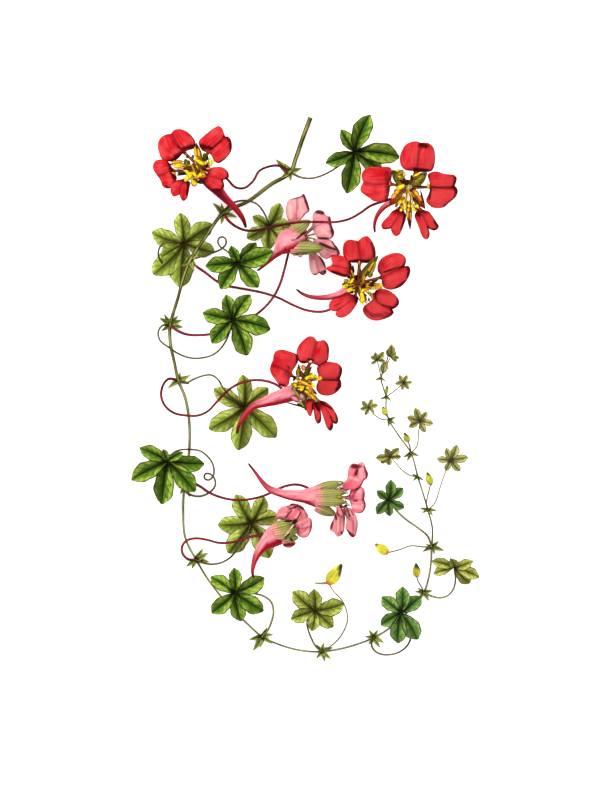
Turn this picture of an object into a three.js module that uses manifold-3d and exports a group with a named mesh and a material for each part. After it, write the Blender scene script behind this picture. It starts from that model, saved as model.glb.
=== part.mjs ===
// Climbing flame nasturtium: one cut flowering stem, laid down on a flat surface.
// The stem lies in a long open hook. Each of its nodes carries a ruff of stipules, and a leaf, a
// long-stalked bloom or a bud. Every leaf, stalk, calyx, corolla, cluster of stamens and bud is a solid
// of its own, which stops SEAT_GAP short of the piece that carries it.
// Millimetres, +Z up, the surface at z = 0, and the origin under the middle of the plant.
import * as THREE from "three";
import { mergeVertices } from "three/addons/utils/BufferGeometryUtils.js";
import Module from "manifold-3d";

const wasm = await Module();
wasm.setup();

// ---------------------------------------------------------------- driving dimensions
const PLAN_STEP = 0.4; // one step of the plan grid
const PLAN_CENTRE = { across: 305.5, down: 387.7 }; // the plan point that becomes the origin
const SEAT_GAP = 0.3; // clear space where one piece meets another
const BLADE_THICKNESS = 0.62;
const STEM_RADII = [1.05, 0.98, 0.92, 0.88, 0.82, 0.76, 0.7, 0.64, 0.58, 0.5, 0.42];
const PETIOLE_RADII = [0.42, 0.42];
const STALK_RADII = [0.62, 0.62];
const BUD_STALK_RADII = [0.36, 0.36];
const BUD_SWELL = [0.45, 0.85, 1, 0.92, 0.62, 0.22]; // share of a bud's half width, from base to tip
const BUD_SPUR_RADII = [0.7, 0.5, 0.32];
const STAMEN_RADII = [0.4, 0.42, 1.0, 0.5]; // foot, filament, then the anther
const CUP_DEPTH = 1.5; // the straight stretch of the calyx behind the throat
const SEPAL_ROOT = -1.0; // along the axis, from the throat
const SEPAL_SINK = 0.9; // into the calyx cup
const SEPAL_CUP = 0.3; // rise of a sepal's margins
const STAMENS = 5;
const SHORT_STAMEN = 0.8; // every second one, to the length of the others
const STAMEN_BASE = { radius: 1.3, low: 1.8, high: 2.7 }; // heights over the throat
const STAMEN_FOOT = { forward: 2.2, outward: 0.8 }; // from the throat
const STAMEN_DROOP = 0.14; // lean of all stamens towards the narrow petals
const STIPULE_LENGTH = 4.6;
const STIPULE_RISE = 0.9; // of a lobe's tip over its node
const RUFF_RING = 1.25; // where the lobes of a ruff part

// How finely each kind of tube is cut: its sides, and the length of one step.
const STEM_CUT = { sides: 6, step: 7.6 };
const PETIOLE_CUT = { sides: 4, step: 3.4 };
const STALK_CUT = { sides: 4, step: 4.6 };
const SPUR_CUT = { sides: 6, step: 4.4 };
const BUD_CUT = { sides: 6, step: 1.8 };
const BUD_STALK_CUT = { sides: 4, step: 3.2 };
const STAMEN_CUT = { sides: 3, step: 2.2 };

// A plan point is [across, down, height]: across and down in plan steps, height in millimetres.
const at = ([across, down, height]) =>
  new THREE.Vector3(
    (across - PLAN_CENTRE.across) * PLAN_STEP,
    (PLAN_CENTRE.down - down) * PLAN_STEP,
    height,
  );

// ---------------------------------------------------------------- materials
const paint = (color, roughness) => new THREE.MeshStandardMaterial({ color, roughness, metalness: 0 });
const STEM_GREEN = paint(0x7f8a3c, 0.6);
const LEAF_GREEN = paint(0x4d8a2c, 0.55);
const LEAF_BACK = paint(0x9aa850, 0.65);
const YOUNG_GREEN = paint(0x8d9a48, 0.65);
const STALK_RED = paint(0x8c1f2a, 0.5);
const CALYX_PINK = paint(0xe0607c, 0.5);
const PETAL_RED = paint(0xdf2f3c, 0.5);
const PETAL_PINK = paint(0xee8496, 0.55);
const STAMEN_YELLOW = paint(0xf1cf1e, 0.6);
const BUD_YELLOW = paint(0xd8cf3a, 0.55);

// ---------------------------------------------------------------- layout
// The nodes of the stem, from the cut end to the growing tip.
const NODES = {
  n1: [290, 172, 0.8],
  n2: [223, 213, 2.0],
  n3: [190, 260, 4.8],
  n4: [170, 325, 0.68],
  n5: [178, 380, 0.64],
  n6: [184, 488, 0.6],
  n7: [196, 560, 0.56],
  n8: [262, 637, 0.52],
  n9: [322, 652, 0.5],
  n10: [374, 638, 0.48],
  n11: [424, 593, 0.46],
  n12: [432, 547, 1.0],
  n13: [428, 510, 3.6],
  n14: [418, 477, 5.8],
  n15: [411, 453, 7.6],
  n16: [389, 420, 9.8],
  n17: [386, 397, 11.8],
  n18: [381, 378, 13.8],
};
const STEM_ROUTE = [
  [310.5, 117, 0.85], [303, 137, 0.85], [296, 157, 0.82], NODES.n1, [271, 184, 0.8], [248, 201, 0.85],
  NODES.n2, [206, 236, 4.0], NODES.n3, [183, 278, 4.2], [178, 297, 2.4], NODES.n4, [170, 342, 0.66],
  [174, 362, 0.65], NODES.n5, [185, 398, 0.63], [189, 422, 0.62], [189, 450, 0.61], NODES.n6,
  [183, 512, 0.59], [185, 538, 0.58], NODES.n7, [208, 580, 0.55], [227, 604, 0.54], [246, 623, 0.53],
  NODES.n8, [282, 646, 0.51], [302, 651, 0.5], NODES.n9, [346, 648, 0.49], NODES.n10, [393, 626, 0.48],
  [410, 610, 0.47], NODES.n11, [430, 572, 0.6], NODES.n12, [432.5, 528, 2.0], NODES.n13,
  [423, 493, 4.8], NODES.n14, NODES.n15, [399, 436, 8.8], NODES.n16, [386, 408, 10.8], NODES.n17,
  [383, 387, 12.8], NODES.n18, [385, 366, 15.2], [390, 350, 17.6],
];

// Leaves: the node that carries the leaf, the way of its stalk, the hub and the tip of each leaflet.
const LEAVES = [
  {
    name: "leaf_01", node: "n1", way: [[301, 177, 2.2], [312, 178, 3.4], [325, 174, 5], [340, 165, 6.8]],
    hub: [355, 152, 8.8],
    tips: [[341, 130, 11], [370, 115, 12], [399, 157, 8], [382, 171, 7], [347, 193, 9], [326, 163, 10]],
  },
  {
    name: "leaf_02", node: "n3", way: [[180, 267, 4.0], [171, 268, 3.3], [163, 264, 3.3], [158, 254, 3.7],
      [161, 245, 3.8], [169, 241.5, 3.5], [177, 241, 2.9]],
    hub: [184, 243, 1.5],
    tips: [[180, 213, 1.2], [152, 232, 1.4], [212, 224, 0.8], [214, 251, 0.8], [180, 287, 0.8],
      [153, 274, 1.0], [161, 256, 1.2]],
  },
  {
    name: "leaf_03", node: "n2", way: [[228, 206, 3.4], [236, 201.5, 4.3], [247, 200.5, 4.7],
      [257, 204, 4.5], [263, 211, 4.0], [267, 219, 3.2]],
    hub: [269, 226, 1.8],
    tips: [[253, 216, 1.8], [280, 203, 1.6], [247, 238, 1.4], [268, 250, 1.2], [283, 246, 1.2],
      [291, 224, 1.4]],
  },
  {
    name: "leaf_04", node: "n3", way: [[202, 256, 5.5], [213, 252.5, 5.9], [221, 249, 6.1],
      [226, 243.5, 6.6], [225, 238, 7.2], [220.5, 237, 7.7], [217.8, 241, 8.2], [220, 246.5, 8.6],
      [226, 250.5, 9.0], [232, 256, 9.7]],
    hub: [238, 263, 10.8],
    tips: [[206, 266, 11], [221, 289, 10.5], [258, 287, 10.5], [273, 252, 14.5], [256, 243, 12],
      [231, 246, 14]],
  },
  {
    name: "leaf_05", node: "n4", way: [[162, 325.5, 2.4], [158, 332, 2.9], [160, 340.5, 3.2],
      [169, 347.5, 3.5], [179, 354, 3.7], [191, 358, 4.0], [204, 357.5, 4.6], [215, 353.5, 5.4],
      [224, 344, 6.4], [229, 333, 7.5]],
    hub: [233, 320, 9.0],
    tips: [[226, 295, 10], [250, 295, 10], [270, 329, 9], [247, 355, 7.5], [212, 343, 8], [203, 313, 9]],
  },
  {
    name: "leaf_06", node: "n5", way: [[186, 383, 2.2], [193, 379.5, 3.0], [202, 376, 3.4],
      [211, 375, 3.6], [218, 379.5, 3.7], [223, 388, 3.7], [230, 396, 3.4], [238, 402, 2.9]],
    hub: [244, 407, 1.7],
    tips: [[243, 375, 1.4], [214, 389, 1.6], [209, 429, 1.2], [238, 450, 1.0], [276, 437, 1.2],
      [268, 388, 1.4]],
  },
  {
    name: "leaf_07", node: "n6", way: [[189.5, 494.5, 1.5], [199, 496.5, 2.0], [208, 493.5, 2.5],
      [215, 486, 3.3], [214.5, 479, 3.6], [210, 474, 3.9], [205, 474, 4.4], [204.5, 478.5, 4.9],
      [209, 480, 5.3], [213.5, 475, 5.6], [213, 465, 5.8], [208, 457, 6.1], [200, 451, 6.4],
      [190, 449.5, 6.8], [180, 450, 7.3], [173, 453, 7.9]],
    hub: [168, 461, 9.0],
    tips: [[140, 448, 10], [132, 480, 9], [162, 504, 8], [195, 491, 7.5], [204, 464, 9], [163, 449, 13],
      [183, 452, 13]],
  },
  {
    name: "leaf_08", node: "n7", way: [[203, 563, 1.9], [212, 564.5, 2.6], [222, 562.5, 3.1],
      [231, 557, 3.4], [238, 548, 3.5], [245, 538, 3.2], [249, 530, 2.7]],
    hub: [251, 523, 1.7],
    tips: [[236, 495, 1.6], [264, 497, 1.6], [218, 525, 1.4], [279, 516, 1.4], [228, 553, 1.2],
      [269, 558, 1.2]],
  },
  {
    name: "leaf_09", node: "n8", way: [[268, 630, 2.2], [271.5, 622, 3.0], [273.5, 612, 3.9],
      [271, 602, 4.9], [263, 596, 5.9], [253, 593.5, 6.8], [244, 593, 7.5]],
    hub: [235, 593, 8.6],
    tips: [[234, 568, 9], [264, 578, 7.6], [263, 611, 7], [241, 621, 6.5], [212, 613, 7],
      [211, 577, 8.5]],
  },
  {
    name: "leaf_10", node: "n9", way: [[316, 647, 2.0], [312, 640, 3.2], [308.5, 631, 4.6],
      [307, 622, 6.2]],
    hub: [315, 611, 8.6],
    tips: [[293, 592, 9], [314, 589, 12], [344, 604, 9.5], [333, 627, 8], [312, 631, 9.5], [291, 619, 9]],
  },
  {
    name: "leaf_11", node: "n10", way: [[371.5, 644, 1.6], [374, 650.5, 2.2], [381, 654.5, 2.6],
      [390, 655, 3.0], [400, 652, 3.5], [408, 645, 4.2], [411, 636, 5.0], [408, 624, 6.6]],
    hub: [401, 613, 8.6],
    tips: [[403, 587, 9], [421, 597, 8], [418, 639, 7], [398, 643, 7], [381, 625, 8], [382, 597, 9]],
  },
  {
    name: "leaf_12", node: "n11", way: [[432, 596.5, 2.0], [441, 598, 3.2], [449, 595, 4.6],
      [454, 588, 6.2], [455.5, 578, 8.4]],
    hub: [454, 567, 10.8],
    tips: [[432, 561, 12.5], [434, 574, 9], [450, 558, 18], [473, 561, 15], [479, 577, 11],
      [470, 583, 7]],
  },
  {
    name: "leaf_13", node: "n12", way: [[427.5, 536, 2.8], [418, 528, 4.2], [406, 519.5, 5.4],
      [396, 510, 6.8]],
    hub: [389, 500, 8.0],
    tips: [[391, 480, 9], [403, 488, 8], [404, 508, 7], [390, 516, 7], [377, 514, 8], [377, 491, 9]],
  },
];
// Young leaves near the tip.
const YOUNG_LEAVES = [
  { name: "leaf_14", node: "n13", way: [[435, 503, 4.8], [440, 488, 6.6], [445, 473, 8.8]],
    hub: [451, 460, 10.5],
    tips: [[446, 448, 11], [457, 445, 11], [468, 458, 10.5], [460, 471, 9.5], [446, 471, 9.5],
      [437, 459, 10.5]] },
  { name: "leaf_15", node: "n14", way: [[409, 475, 6.9], [401, 469, 7.6], [395, 462, 8.4]],
    hub: [390, 456, 9.4],
    tips: [[376, 458, 10], [381, 463, 8], [385, 448, 13], [399, 448, 12], [401, 457, 9], [389, 465, 7]] },
  { name: "leaf_16", node: "n15", way: [[417, 446, 8.6], [418.5, 433, 10.4]], hub: [420, 421, 12.2],
    tips: [[415, 408, 13], [427, 412, 13], [433, 424, 12], [425, 432, 11], [409, 427, 12],
      [407, 417, 13]] },
  { name: "leaf_17", node: "n16", way: [[381, 419, 10.6], [374, 414.5, 11.4]], hub: [369, 408, 12.2],
    tips: [[362, 401, 13], [372, 399, 13], [378, 405, 12.6], [374, 413, 12], [365, 415, 12],
      [360, 409, 12.6]] },
  { name: "leaf_18", node: "n17", way: [[393, 392, 12.6], [399, 387, 13.4]], hub: [404, 383, 14.2],
    tips: [[399, 375, 15], [407, 375, 15], [412, 382, 14.6], [409, 389, 14], [402, 390, 14],
      [395, 384, 14.6]] },
];
// The leaves still folded round the growing tip, which are one piece with the stem.
const TIP_LEAVES = [
  { from: NODES.n18, way: [[379, 368, 15.2]], hub: [377, 360, 16.6],
    tips: [[370, 357, 18], [375, 352, 19], [384, 352, 18.5], [385, 361, 17], [371, 364, 16.6]] },
  { from: [385, 366, 15.2], way: [[389, 361, 16.4]], hub: [393, 357, 17.4],
    tips: [[391, 343, 21], [397, 352, 19.6], [399, 360, 18], [390, 364, 17]] },
];
const TIP_BUD = { from: NODES.n17, way: [], base: [386.5, 393, 13.4],
  tip: [387, 385.5, 15.6], halfWidth: 0.8 };

// Buds: the node, the way of the stalk, the two ends of the bud and its half width.
const BUDS = [
  { name: "bud_1", node: "n9", way: [[330, 647, 2.0], [338, 640, 3.0], [344, 631, 4.0], [347.5, 620, 5.0],
    [346, 609, 6.0], [341, 599, 7.0], [334, 592, 8.0]], base: [328, 584, 8.8], tip: [342, 564, 11.5],
    halfWidth: 2.7, spur: [[321, 583.5, 8.6], [314, 583, 8.4]] },
  { name: "bud_2", node: "n12", way: [[422, 547, 2.8], [411, 546, 4.0], [399, 550, 5.0]],
    base: [388, 553.5, 6.0], tip: [375, 544, 7.4], halfWidth: 2.0 },
  { name: "bud_3", node: "n11", way: [[421.5, 587, 2.6], [418, 581, 4.2]], base: [417, 577, 5.4],
    tip: [416, 563, 8.0], halfWidth: 1.7 },
  { name: "bud_4", node: "n13", way: [[426.5, 503, 5.6], [428.5, 493, 7.4]], base: [431, 485, 9.0],
    tip: [427, 472, 11.0], halfWidth: 1.5 },
  { name: "bud_5", node: "n15", way: [[409.8, 446.5, 9.8]], base: [408.5, 442, 11.0],
    tip: [404, 432.5, 12.6], halfWidth: 1.35 },
  { name: "bud_6", node: "n16", way: [[387.5, 417, 11.4]], base: [386, 415, 12.2],
    tip: [382.5, 406.5, 13.6], halfWidth: 1.3 },
];

// Blooms. The throat is the middle of the calyx's mouth, facing points out of the flower, and the spur
// runs back from the throat. A petal is the middle of its outer edge, its full width and its twist in
// degrees. "sprung" is how far the petals stand forward and out before they turn to their tips. A sepal
// has a length, a half width and an angle from the axis, and so has a stamen a length and an angle.
const OPEN = {
  petalPaint: PETAL_RED,
  sprung: [4.2, 6],
  sepal: { length: 8.8, half: 1.6, spread: 80 },
  stamen: { length: 6.6, spread: 40 },
};
const CUPPED = {
  petalPaint: PETAL_PINK,
  sprung: [8.5, 3.6],
  sepal: { length: 8.8, half: 2.1, spread: 26 },
  stamen: { length: 8, spread: 10 },
};
const BLOOMS = [
  {
    name: "bloom_1", node: "n1", ...OPEN, throat: [200, 168, 20], facing: [-0.3, 0.28, 0.91],
    spur: [[206, 176, 16.4], [215, 187, 12.4], [226, 199, 9.0], [236, 209, 6.8], [243, 219, 5.4],
      [246, 228, 4.6]],
    spurRadii: [3.6, 3.3, 2.9, 2.3, 1.7, 1.2, 0.8, 0.4],
    stalk: [[279, 165.5, 2.8], [268, 166.5, 4.2], [259, 171, 5.4], [253, 181, 6.8], [244, 188, 8.2],
      [235, 187, 9.8], [227, 179, 11.6], [218, 173, 13.4], [207, 173, 16]],
    petals: [[167, 134, 12, 14], [224, 131, 19, 13.6], [157, 176, 16, 12]],
    wedges: [[180, 199, 22, 8.6], [229, 181, 26, 9.6]],
  },
  {
    name: "bloom_2", node: "n2", ...OPEN, throat: [407, 189, 26], facing: [0.22, 0.18, 0.96],
    spur: [[404, 192, 21.8], [400, 196, 18.4], [393, 201, 15], [384, 207, 12], [377, 216, 9.6],
      [374.5, 225, 8.2], [375, 233, 7.4]],
    spurRadii: [3.6, 3.2, 2.7, 2.1, 1.5, 1.05, 0.75, 0.4],
    stalk: [[229, 221, 3.0], [237, 227, 4.8], [247, 230.5, 7.4], [259, 230, 11.4], [273, 227, 16.4],
      [288, 224, 21.4], [303, 222.5, 24.9], [320, 222.5, 26.2], [336, 222.5, 26], [349, 219.5, 25],
      [360, 213.5, 23.6], [370, 206.5, 22], [382, 202, 20.4], [399, 197, 17.6]],
    petals: [[417, 142, 23, 14], [361, 184, 30, 13], [456, 190, 22, 14]],
    wedges: [[388, 234, 30, 9.4], [431, 237, 27, 9.4]],
  },
  {
    name: "bloom_3", node: "n3", ...OPEN, throat: [357, 284, 18], facing: [0.3, 0.05, 0.953],
    spur: [[353, 286, 14.4], [347, 290, 11.8], [337, 295, 9.8], [325, 297.5, 8.6], [312, 297, 7.8],
      [303, 294, 7.4], [296, 289, 7.2]],
    spurRadii: [3.6, 3.1, 2.4, 1.8, 1.35, 1.0, 0.7, 0.4],
    stalk: [[196, 266, 5.2], [206, 273, 5.7], [215, 280, 6.1], [224, 285, 6.2], [236, 287.5, 6.4],
      [250, 290, 6.6], [264, 293, 6.8], [279, 298, 7.0], [293, 305, 7.4], [308, 310.5, 8.0],
      [323, 311.5, 8.8], [336, 306, 10], [349, 291, 12]],
    petals: [[358, 238, 19, 13.4], [405, 264, 13, 14], [389, 313, 15, 13.6]],
    wedges: [[329, 264, 23, 8.8], [338, 312, 21, 9.6]],
  },
  {
    name: "bloom_4", node: "n5", ...OPEN, throat: [301, 382, 18], facing: [0.52, 0.16, 0.84],
    spur: [[295, 386, 15.2], [287, 391, 12.8], [276, 396, 11], [265, 400.5, 9.6], [254, 406, 8.4],
      [245, 415, 7.4], [239, 425, 6.6], [236.5, 434, 6.2]],
    spurRadii: [3.8, 3.7, 3.3, 2.8, 2.2, 1.6, 1.1, 0.75, 0.4],
    stalk: [[168, 379, 2.4], [162.5, 386, 2.9], [161, 396, 3.2], [165, 406, 3.4], [174, 413, 3.6],
      [186, 415.5, 3.8], [198, 415.5, 4.1], [208, 411, 4.6], [217, 401.5, 5.2], [226, 392, 6.0],
      [237, 384.5, 7.2], [250, 380.5, 8.8], [263, 380.5, 10.4], [275, 384, 11.8], [285, 391, 12.6]],
    petals: [[272, 362, 25, 13.4], [314, 336, 14, 13], [342, 378, 10, 13]],
    wedges: [[312, 418, 19, 6.4], [333, 428, 15, 8.6]],
  },
  {
    name: "bloom_5", node: "n4", ...OPEN, throat: [301, 239, 12.4], facing: [0.6, 0.3, -0.74],
    petalPaint: PETAL_PINK, sprung: [4.5, 5], sepal: { length: 8.8, half: 1.6, spread: 68 },
    spur: [[294, 243, 15.0], [287, 247, 14.2], [280, 251.5, 12.4], [273, 257, 10.4], [265, 264, 8.6],
      [257, 271, 7.4]],
    spurRadii: [3.9, 3.7, 3.1, 2.5, 1.9, 1.3, 0.9, 0.4],
    stalk: [[178, 331, 1.9], [188, 334.5, 2.5], [200, 335, 2.9], [214, 333.5, 3.3], [230, 329, 3.8],
      [244, 322, 4.8], [256, 314.5, 6.4], [266, 306, 8.2], [274, 296, 9.8], [280, 284, 11.0],
      [284, 271, 12.0], [287, 259, 12.6], [290, 247, 14.4]],
    petals: [[297, 194, 13.6, 10.5], [326, 207, 20, 10.5], [342, 250, 18, 10.5]],
    wedges: [[318, 277, 7, 9], [297, 252, 2.4, 7]],
  },
  {
    name: "bloom_6", node: "n6", ...CUPPED, throat: [322, 497, 14], facing: [0.97, -0.15, 0.18],
    spur: [[312, 496, 13.4], [301, 495, 12.8], [290, 493.5, 12], [279, 491, 11.2], [269, 487, 10.4],
      [262, 480, 9.8], [255, 471, 9.4], [248, 463, 9.2]],
    spurRadii: [5.0, 4.5, 3.6, 2.8, 2.2, 1.8, 1.35, 0.95, 0.65, 0.4],
    stalk: [[190, 482.5, 2.2], [199, 486, 3.5], [208, 492, 4.8], [218, 496.5, 5.6], [230, 499.5, 6.0],
      [243, 500, 6.2], [256, 498, 6.4], [267, 494.5, 6.6], [277, 489.5, 7.2], [286, 486, 8.4],
      [296, 484.5, 10.2], [306, 487, 12.2], [315, 493, 13.6]],
    petals: [[357, 463, 21, 10.5, 60], [363, 500, 25, 12], [339, 538, 20, 10, -60]],
    wedges: [[353, 537, 7, 8, -50], [358, 478, 3.4, 7]],
  },
  {
    name: "bloom_7", node: "n7", ...CUPPED, throat: [280, 532, 13], facing: [0.74, 0.58, 0.34],
    sprung: [7.5, 3.2], sepal: { length: 6.2, half: 1.9, spread: 26 },
    spur: [[273, 537.5, 12.4], [266, 543, 12.0], [260, 549.5, 11.8], [256, 557, 11.8], [253.5, 565, 11.8],
      [252.5, 572, 11.9], [253.5, 578, 12.0]],
    spurRadii: [4.0, 3.8, 3.2, 2.5, 2.0, 1.5, 1.0, 0.7, 0.4],
    stalk: [[188, 559.5, 1.9], [182.5, 554, 2.5], [182, 546.5, 3.0], [187, 540.5, 3.4], [196, 538.5, 3.8],
      [207, 540, 4.2], [219, 543, 4.6], [231, 542.5, 5.2], [243, 539, 6.0], [255, 536, 7.4],
      [265, 534.5, 9.2], [272, 537, 11.2]],
    petals: [[285, 504, 20, 10, 40], [310, 525, 23, 11], [302, 506, 9, 9]],
    wedges: [[303, 542, 13, 7], [307, 528, 4, 7]],
  },
];

// ---------------------------------------------------------------- solids from geometry
// Drops triangles that merging has flattened to a line.
function keepRealFaces(geometry) {
  const faces = [];
  for (let i = 0; i < geometry.index.count; i += 3) {
    const [a, b, c] = [0, 1, 2].map((k) => geometry.index.getX(i + k));
    if (a !== b && b !== c && a !== c) faces.push(a, b, c);
  }
  return geometry.setIndex(faces);
}

function merged(geometry) {
  geometry.deleteAttribute("normal");
  geometry.deleteAttribute("uv");
  return keepRealFaces(mergeVertices(geometry, 1e-4));
}

function solidOf(geometry) {
  const shared = merged(geometry);
  const mesh = {
    numProp: 3,
    vertProperties: shared.attributes.position.array,
    triVerts: new Uint32Array(shared.index.array),
  };
  const solid = new wasm.Manifold(new wasm.Mesh(mesh));
  if (solid.volume() > 0) return solid;
  mesh.triVerts.reverse();
  return new wasm.Manifold(new wasm.Mesh(mesh));
}

const joined = (solids) => solids.reduce((whole, piece) => whole.add(piece));

// A cut can leave a scrap behind: only the largest body is kept.
function largest(solid) {
  return solid.decompose().reduce((best, body) => (body.volume() > best.volume() ? body : best));
}

function meshOf(name, solid, material) {
  const made = solid.getMesh();
  const geometry = new THREE.BufferGeometry()
    .setAttribute("position", new THREE.BufferAttribute(new Float32Array(made.vertProperties), 3))
    .setIndex(new THREE.BufferAttribute(new Uint32Array(made.triVerts), 1));
  geometry.computeVertexNormals();
  const mesh = new THREE.Mesh(geometry, material);
  mesh.name = name;
  return mesh;
}

// The value at share (0 to 1) of an evenly spaced list.
function along(values, share) {
  const place = Math.min(share, 1) * (values.length - 1);
  const low = Math.min(Math.floor(place), values.length - 2);
  return THREE.MathUtils.lerp(values[low], values[low + 1], place - low);
}

// ---------------------------------------------------------------- tubes
const THREAD = 0.05; // the radius a tube is swept with before its rings are opened out

function ringShape(sides) {
  const turn = (2 * Math.PI) / sides;
  const corners = Array.from({ length: sides }, (_, k) => (k + 0.5) * turn);
  return new THREE.Shape(corners.map((a) => new THREE.Vector2(THREAD * Math.cos(a), THREAD * Math.sin(a))));
}

// A round stem along the points, whose radius follows the list of radii from end to end.
function tube(points, radii, cut, grow = 0) {
  const path = new THREE.CatmullRomCurve3(points, false, "centripetal");
  const steps = Math.max(radii.length - 1, Math.round(path.getLength() / cut.step));
  const sweep = { steps, bevelEnabled: false, extrudePath: path };
  const swept = new THREE.ExtrudeGeometry(ringShape(cut.sides), sweep);
  const centres = path.getSpacedPoints(steps);
  const spots = swept.getAttribute("position");
  const spot = new THREE.Vector3();
  for (let i = 0; i < spots.count; i++) {
    spot.fromBufferAttribute(spots, i);
    let ring = 0;
    centres.forEach((c, k) => {
      if (c.distanceToSquared(spot) < centres[ring].distanceToSquared(spot)) ring = k;
    });
    const radius = along(radii, ring / steps) + grow;
    spot.sub(centres[ring]).multiplyScalar(radius / THREAD).add(centres[ring]);
    spots.setXYZ(i, spot.x, spot.y, spot.z);
  }
  return solidOf(swept);
}

// ---------------------------------------------------------------- blades
// A sheet between rows of points. Rows may differ in length: the shorter one's edges then fan out.
function sheetBetween(rows) {
  const faces = [];
  for (let k = 0; k + 1 < rows.length; k++) {
    const [near, far] = [rows[k], rows[k + 1]];
    let [i, j] = [0, 0];
    while (i < near.length - 1 || j < far.length - 1) {
      const stepNear = i < near.length - 1 && (i + 1) * (far.length - 1) <= (j + 1) * (near.length - 1);
      if (stepNear || j === far.length - 1) {
        faces.push(near[i], near[i + 1], far[j]);
        i += 1;
      } else {
        faces.push(near[i], far[j + 1], far[j]);
        j += 1;
      }
    }
  }
  return faces;
}

// A closed blade from the corners of a sheet's triangles, given its thickness.
function blade(corners, thickness = BLADE_THICKNESS) {
  const sheet = merged(new THREE.BufferGeometry().setFromPoints(corners));
  sheet.computeVertexNormals();
  return solidOf(thickened(sheet, thickness));
}

function thickened(sheet, thickness) {
  const spots = sheet.getAttribute("position");
  const normals = sheet.getAttribute("normal");
  const count = spots.count;
  const both = [];
  for (const side of [0.5, -0.5]) {
    for (let i = 0; i < count; i++) {
      const normal = new THREE.Vector3().fromBufferAttribute(normals, i);
      const spot = new THREE.Vector3().fromBufferAttribute(spots, i);
      both.push(...spot.addScaledVector(normal, thickness * side));
    }
  }
  const front = Array.from(sheet.index.array);
  const faces = [...front];
  const edges = new Set();
  for (let i = 0; i < front.length; i += 3) {
    const [a, b, c] = front.slice(i, i + 3);
    faces.push(count + a, count + c, count + b);
    for (const edge of [[a, b], [b, c], [c, a]]) edges.add(edge.join());
  }
  for (const edge of edges) {
    const [a, b] = edge.split(",").map(Number);
    if (!edges.has([b, a].join())) faces.push(b, a, count + a, b, count + a, count + b);
  }
  return new THREE.BufferGeometry()
    .setAttribute("position", new THREE.Float32BufferAttribute(both, 3))
    .setIndex(faces);
}

// ---------------------------------------------------------------- leaves
// Stations along a leaflet past the hub: the share of its length, of its half width, and the points
// across it.
const LEAFLET = [[0.48, 0.9, -1, 0, 1], [0.8, 0.84, -1, 1]];
const YOUNG_LEAFLET = [[0.6, 0.9, -1, 0, 1]];
const LEAFLET_RATIO = 0.25; // half width to length
const NECK = { reach: 1.5, drop: 1.1 }; // where the stalk turns in to the hub
const LEAFLET_FOLD = 0.1; // rise of the margins over the midrib, to length
const LEAFLET_ARCH = 0.07;
const SINUS_REACH = 1.5; // how far from the hub the leaflets part
const UP = new THREE.Vector3(0, 0, 1);

// The leaflets are cut to the hub in one thin sheet, so neighbours share the point where they part.
function rosette(hub, tips, stations, turnedOver) {
  const angle = (tip) => Math.atan2(tip.y - hub.y, tip.x - hub.x);
  const ordered = [...tips].sort((a, b) => angle(a) - angle(b));
  const heading = (k) => ordered.at(k % ordered.length).clone().sub(hub).normalize();
  const sinus = (k) => heading(k).add(heading(k + 1)).setLength(SINUS_REACH).add(hub);
  const corners = ordered.flatMap((tip, k) => {
    const axis = tip.clone().sub(hub);
    const length = axis.length();
    const across = new THREE.Vector3().crossVectors(UP, heading(k)).normalize();
    const normal = new THREE.Vector3().crossVectors(heading(k), across);
    const fold = (turnedOver ? -1 : 1) * LEAFLET_FOLD * length;
    const row = ([share, width, ...spots]) =>
      spots.map((u) => {
        const arch = LEAFLET_ARCH * length * 4 * share * (1 - share);
        return hub
          .clone()
          .addScaledVector(axis, share)
          .addScaledVector(across, u * width * LEAFLET_RATIO * length)
          .addScaledVector(normal, arch + fold * Math.abs(u) * width);
      });
    const root = [sinus(k + ordered.length - 1), hub, sinus(k)];
    return sheetBetween([root, ...stations.map(row), [tip]]);
  });
  return blade(corners);
}

// The rosette of leaflets with its hub and stalk, still running into the stem's middle.
function leaf({ from, way, hub, tips, turnedOver = false }, stations) {
  const middle = at(hub);
  const route = [from, ...way].map(at);
  const spacing = new THREE.CatmullRomCurve3(route).getLength() / route.length;
  const cut = { ...PETIOLE_CUT, step: Math.min(PETIOLE_CUT.step, spacing) };
  const neck = route.at(-1).clone().sub(middle).setZ(0).setLength(NECK.reach).add(middle);
  neck.z += turnedOver ? NECK.drop : -NECK.drop;
  return joined([
    tube([...route, neck, middle], PETIOLE_RADII, cut),
    rosette(middle, tips.map(at), stations, turnedOver),
  ]);
}

// ---------------------------------------------------------------- stem, stipules and growing tip
const RUFF_LOBES = 7;
const STIPULE_CLEAR = 28; // degrees kept free on each side of whatever leaves the node

const bearing = (from, to) => THREE.MathUtils.radToDeg(Math.atan2(from[1] - to[1], to[0] - from[0]));
const between = (a, b) => Math.abs(((a - b + 540) % 360) - 180);

function leavingDirections(name) {
  const routes = [...LEAVES, ...YOUNG_LEAVES, ...BUDS].filter((p) => p.node === name).map((p) => p.way[0]);
  BLOOMS.filter((b) => b.node === name).forEach((b) => routes.push(b.stalk[0]));
  return routes.map((point) => bearing(NODES[name], point));
}

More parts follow.
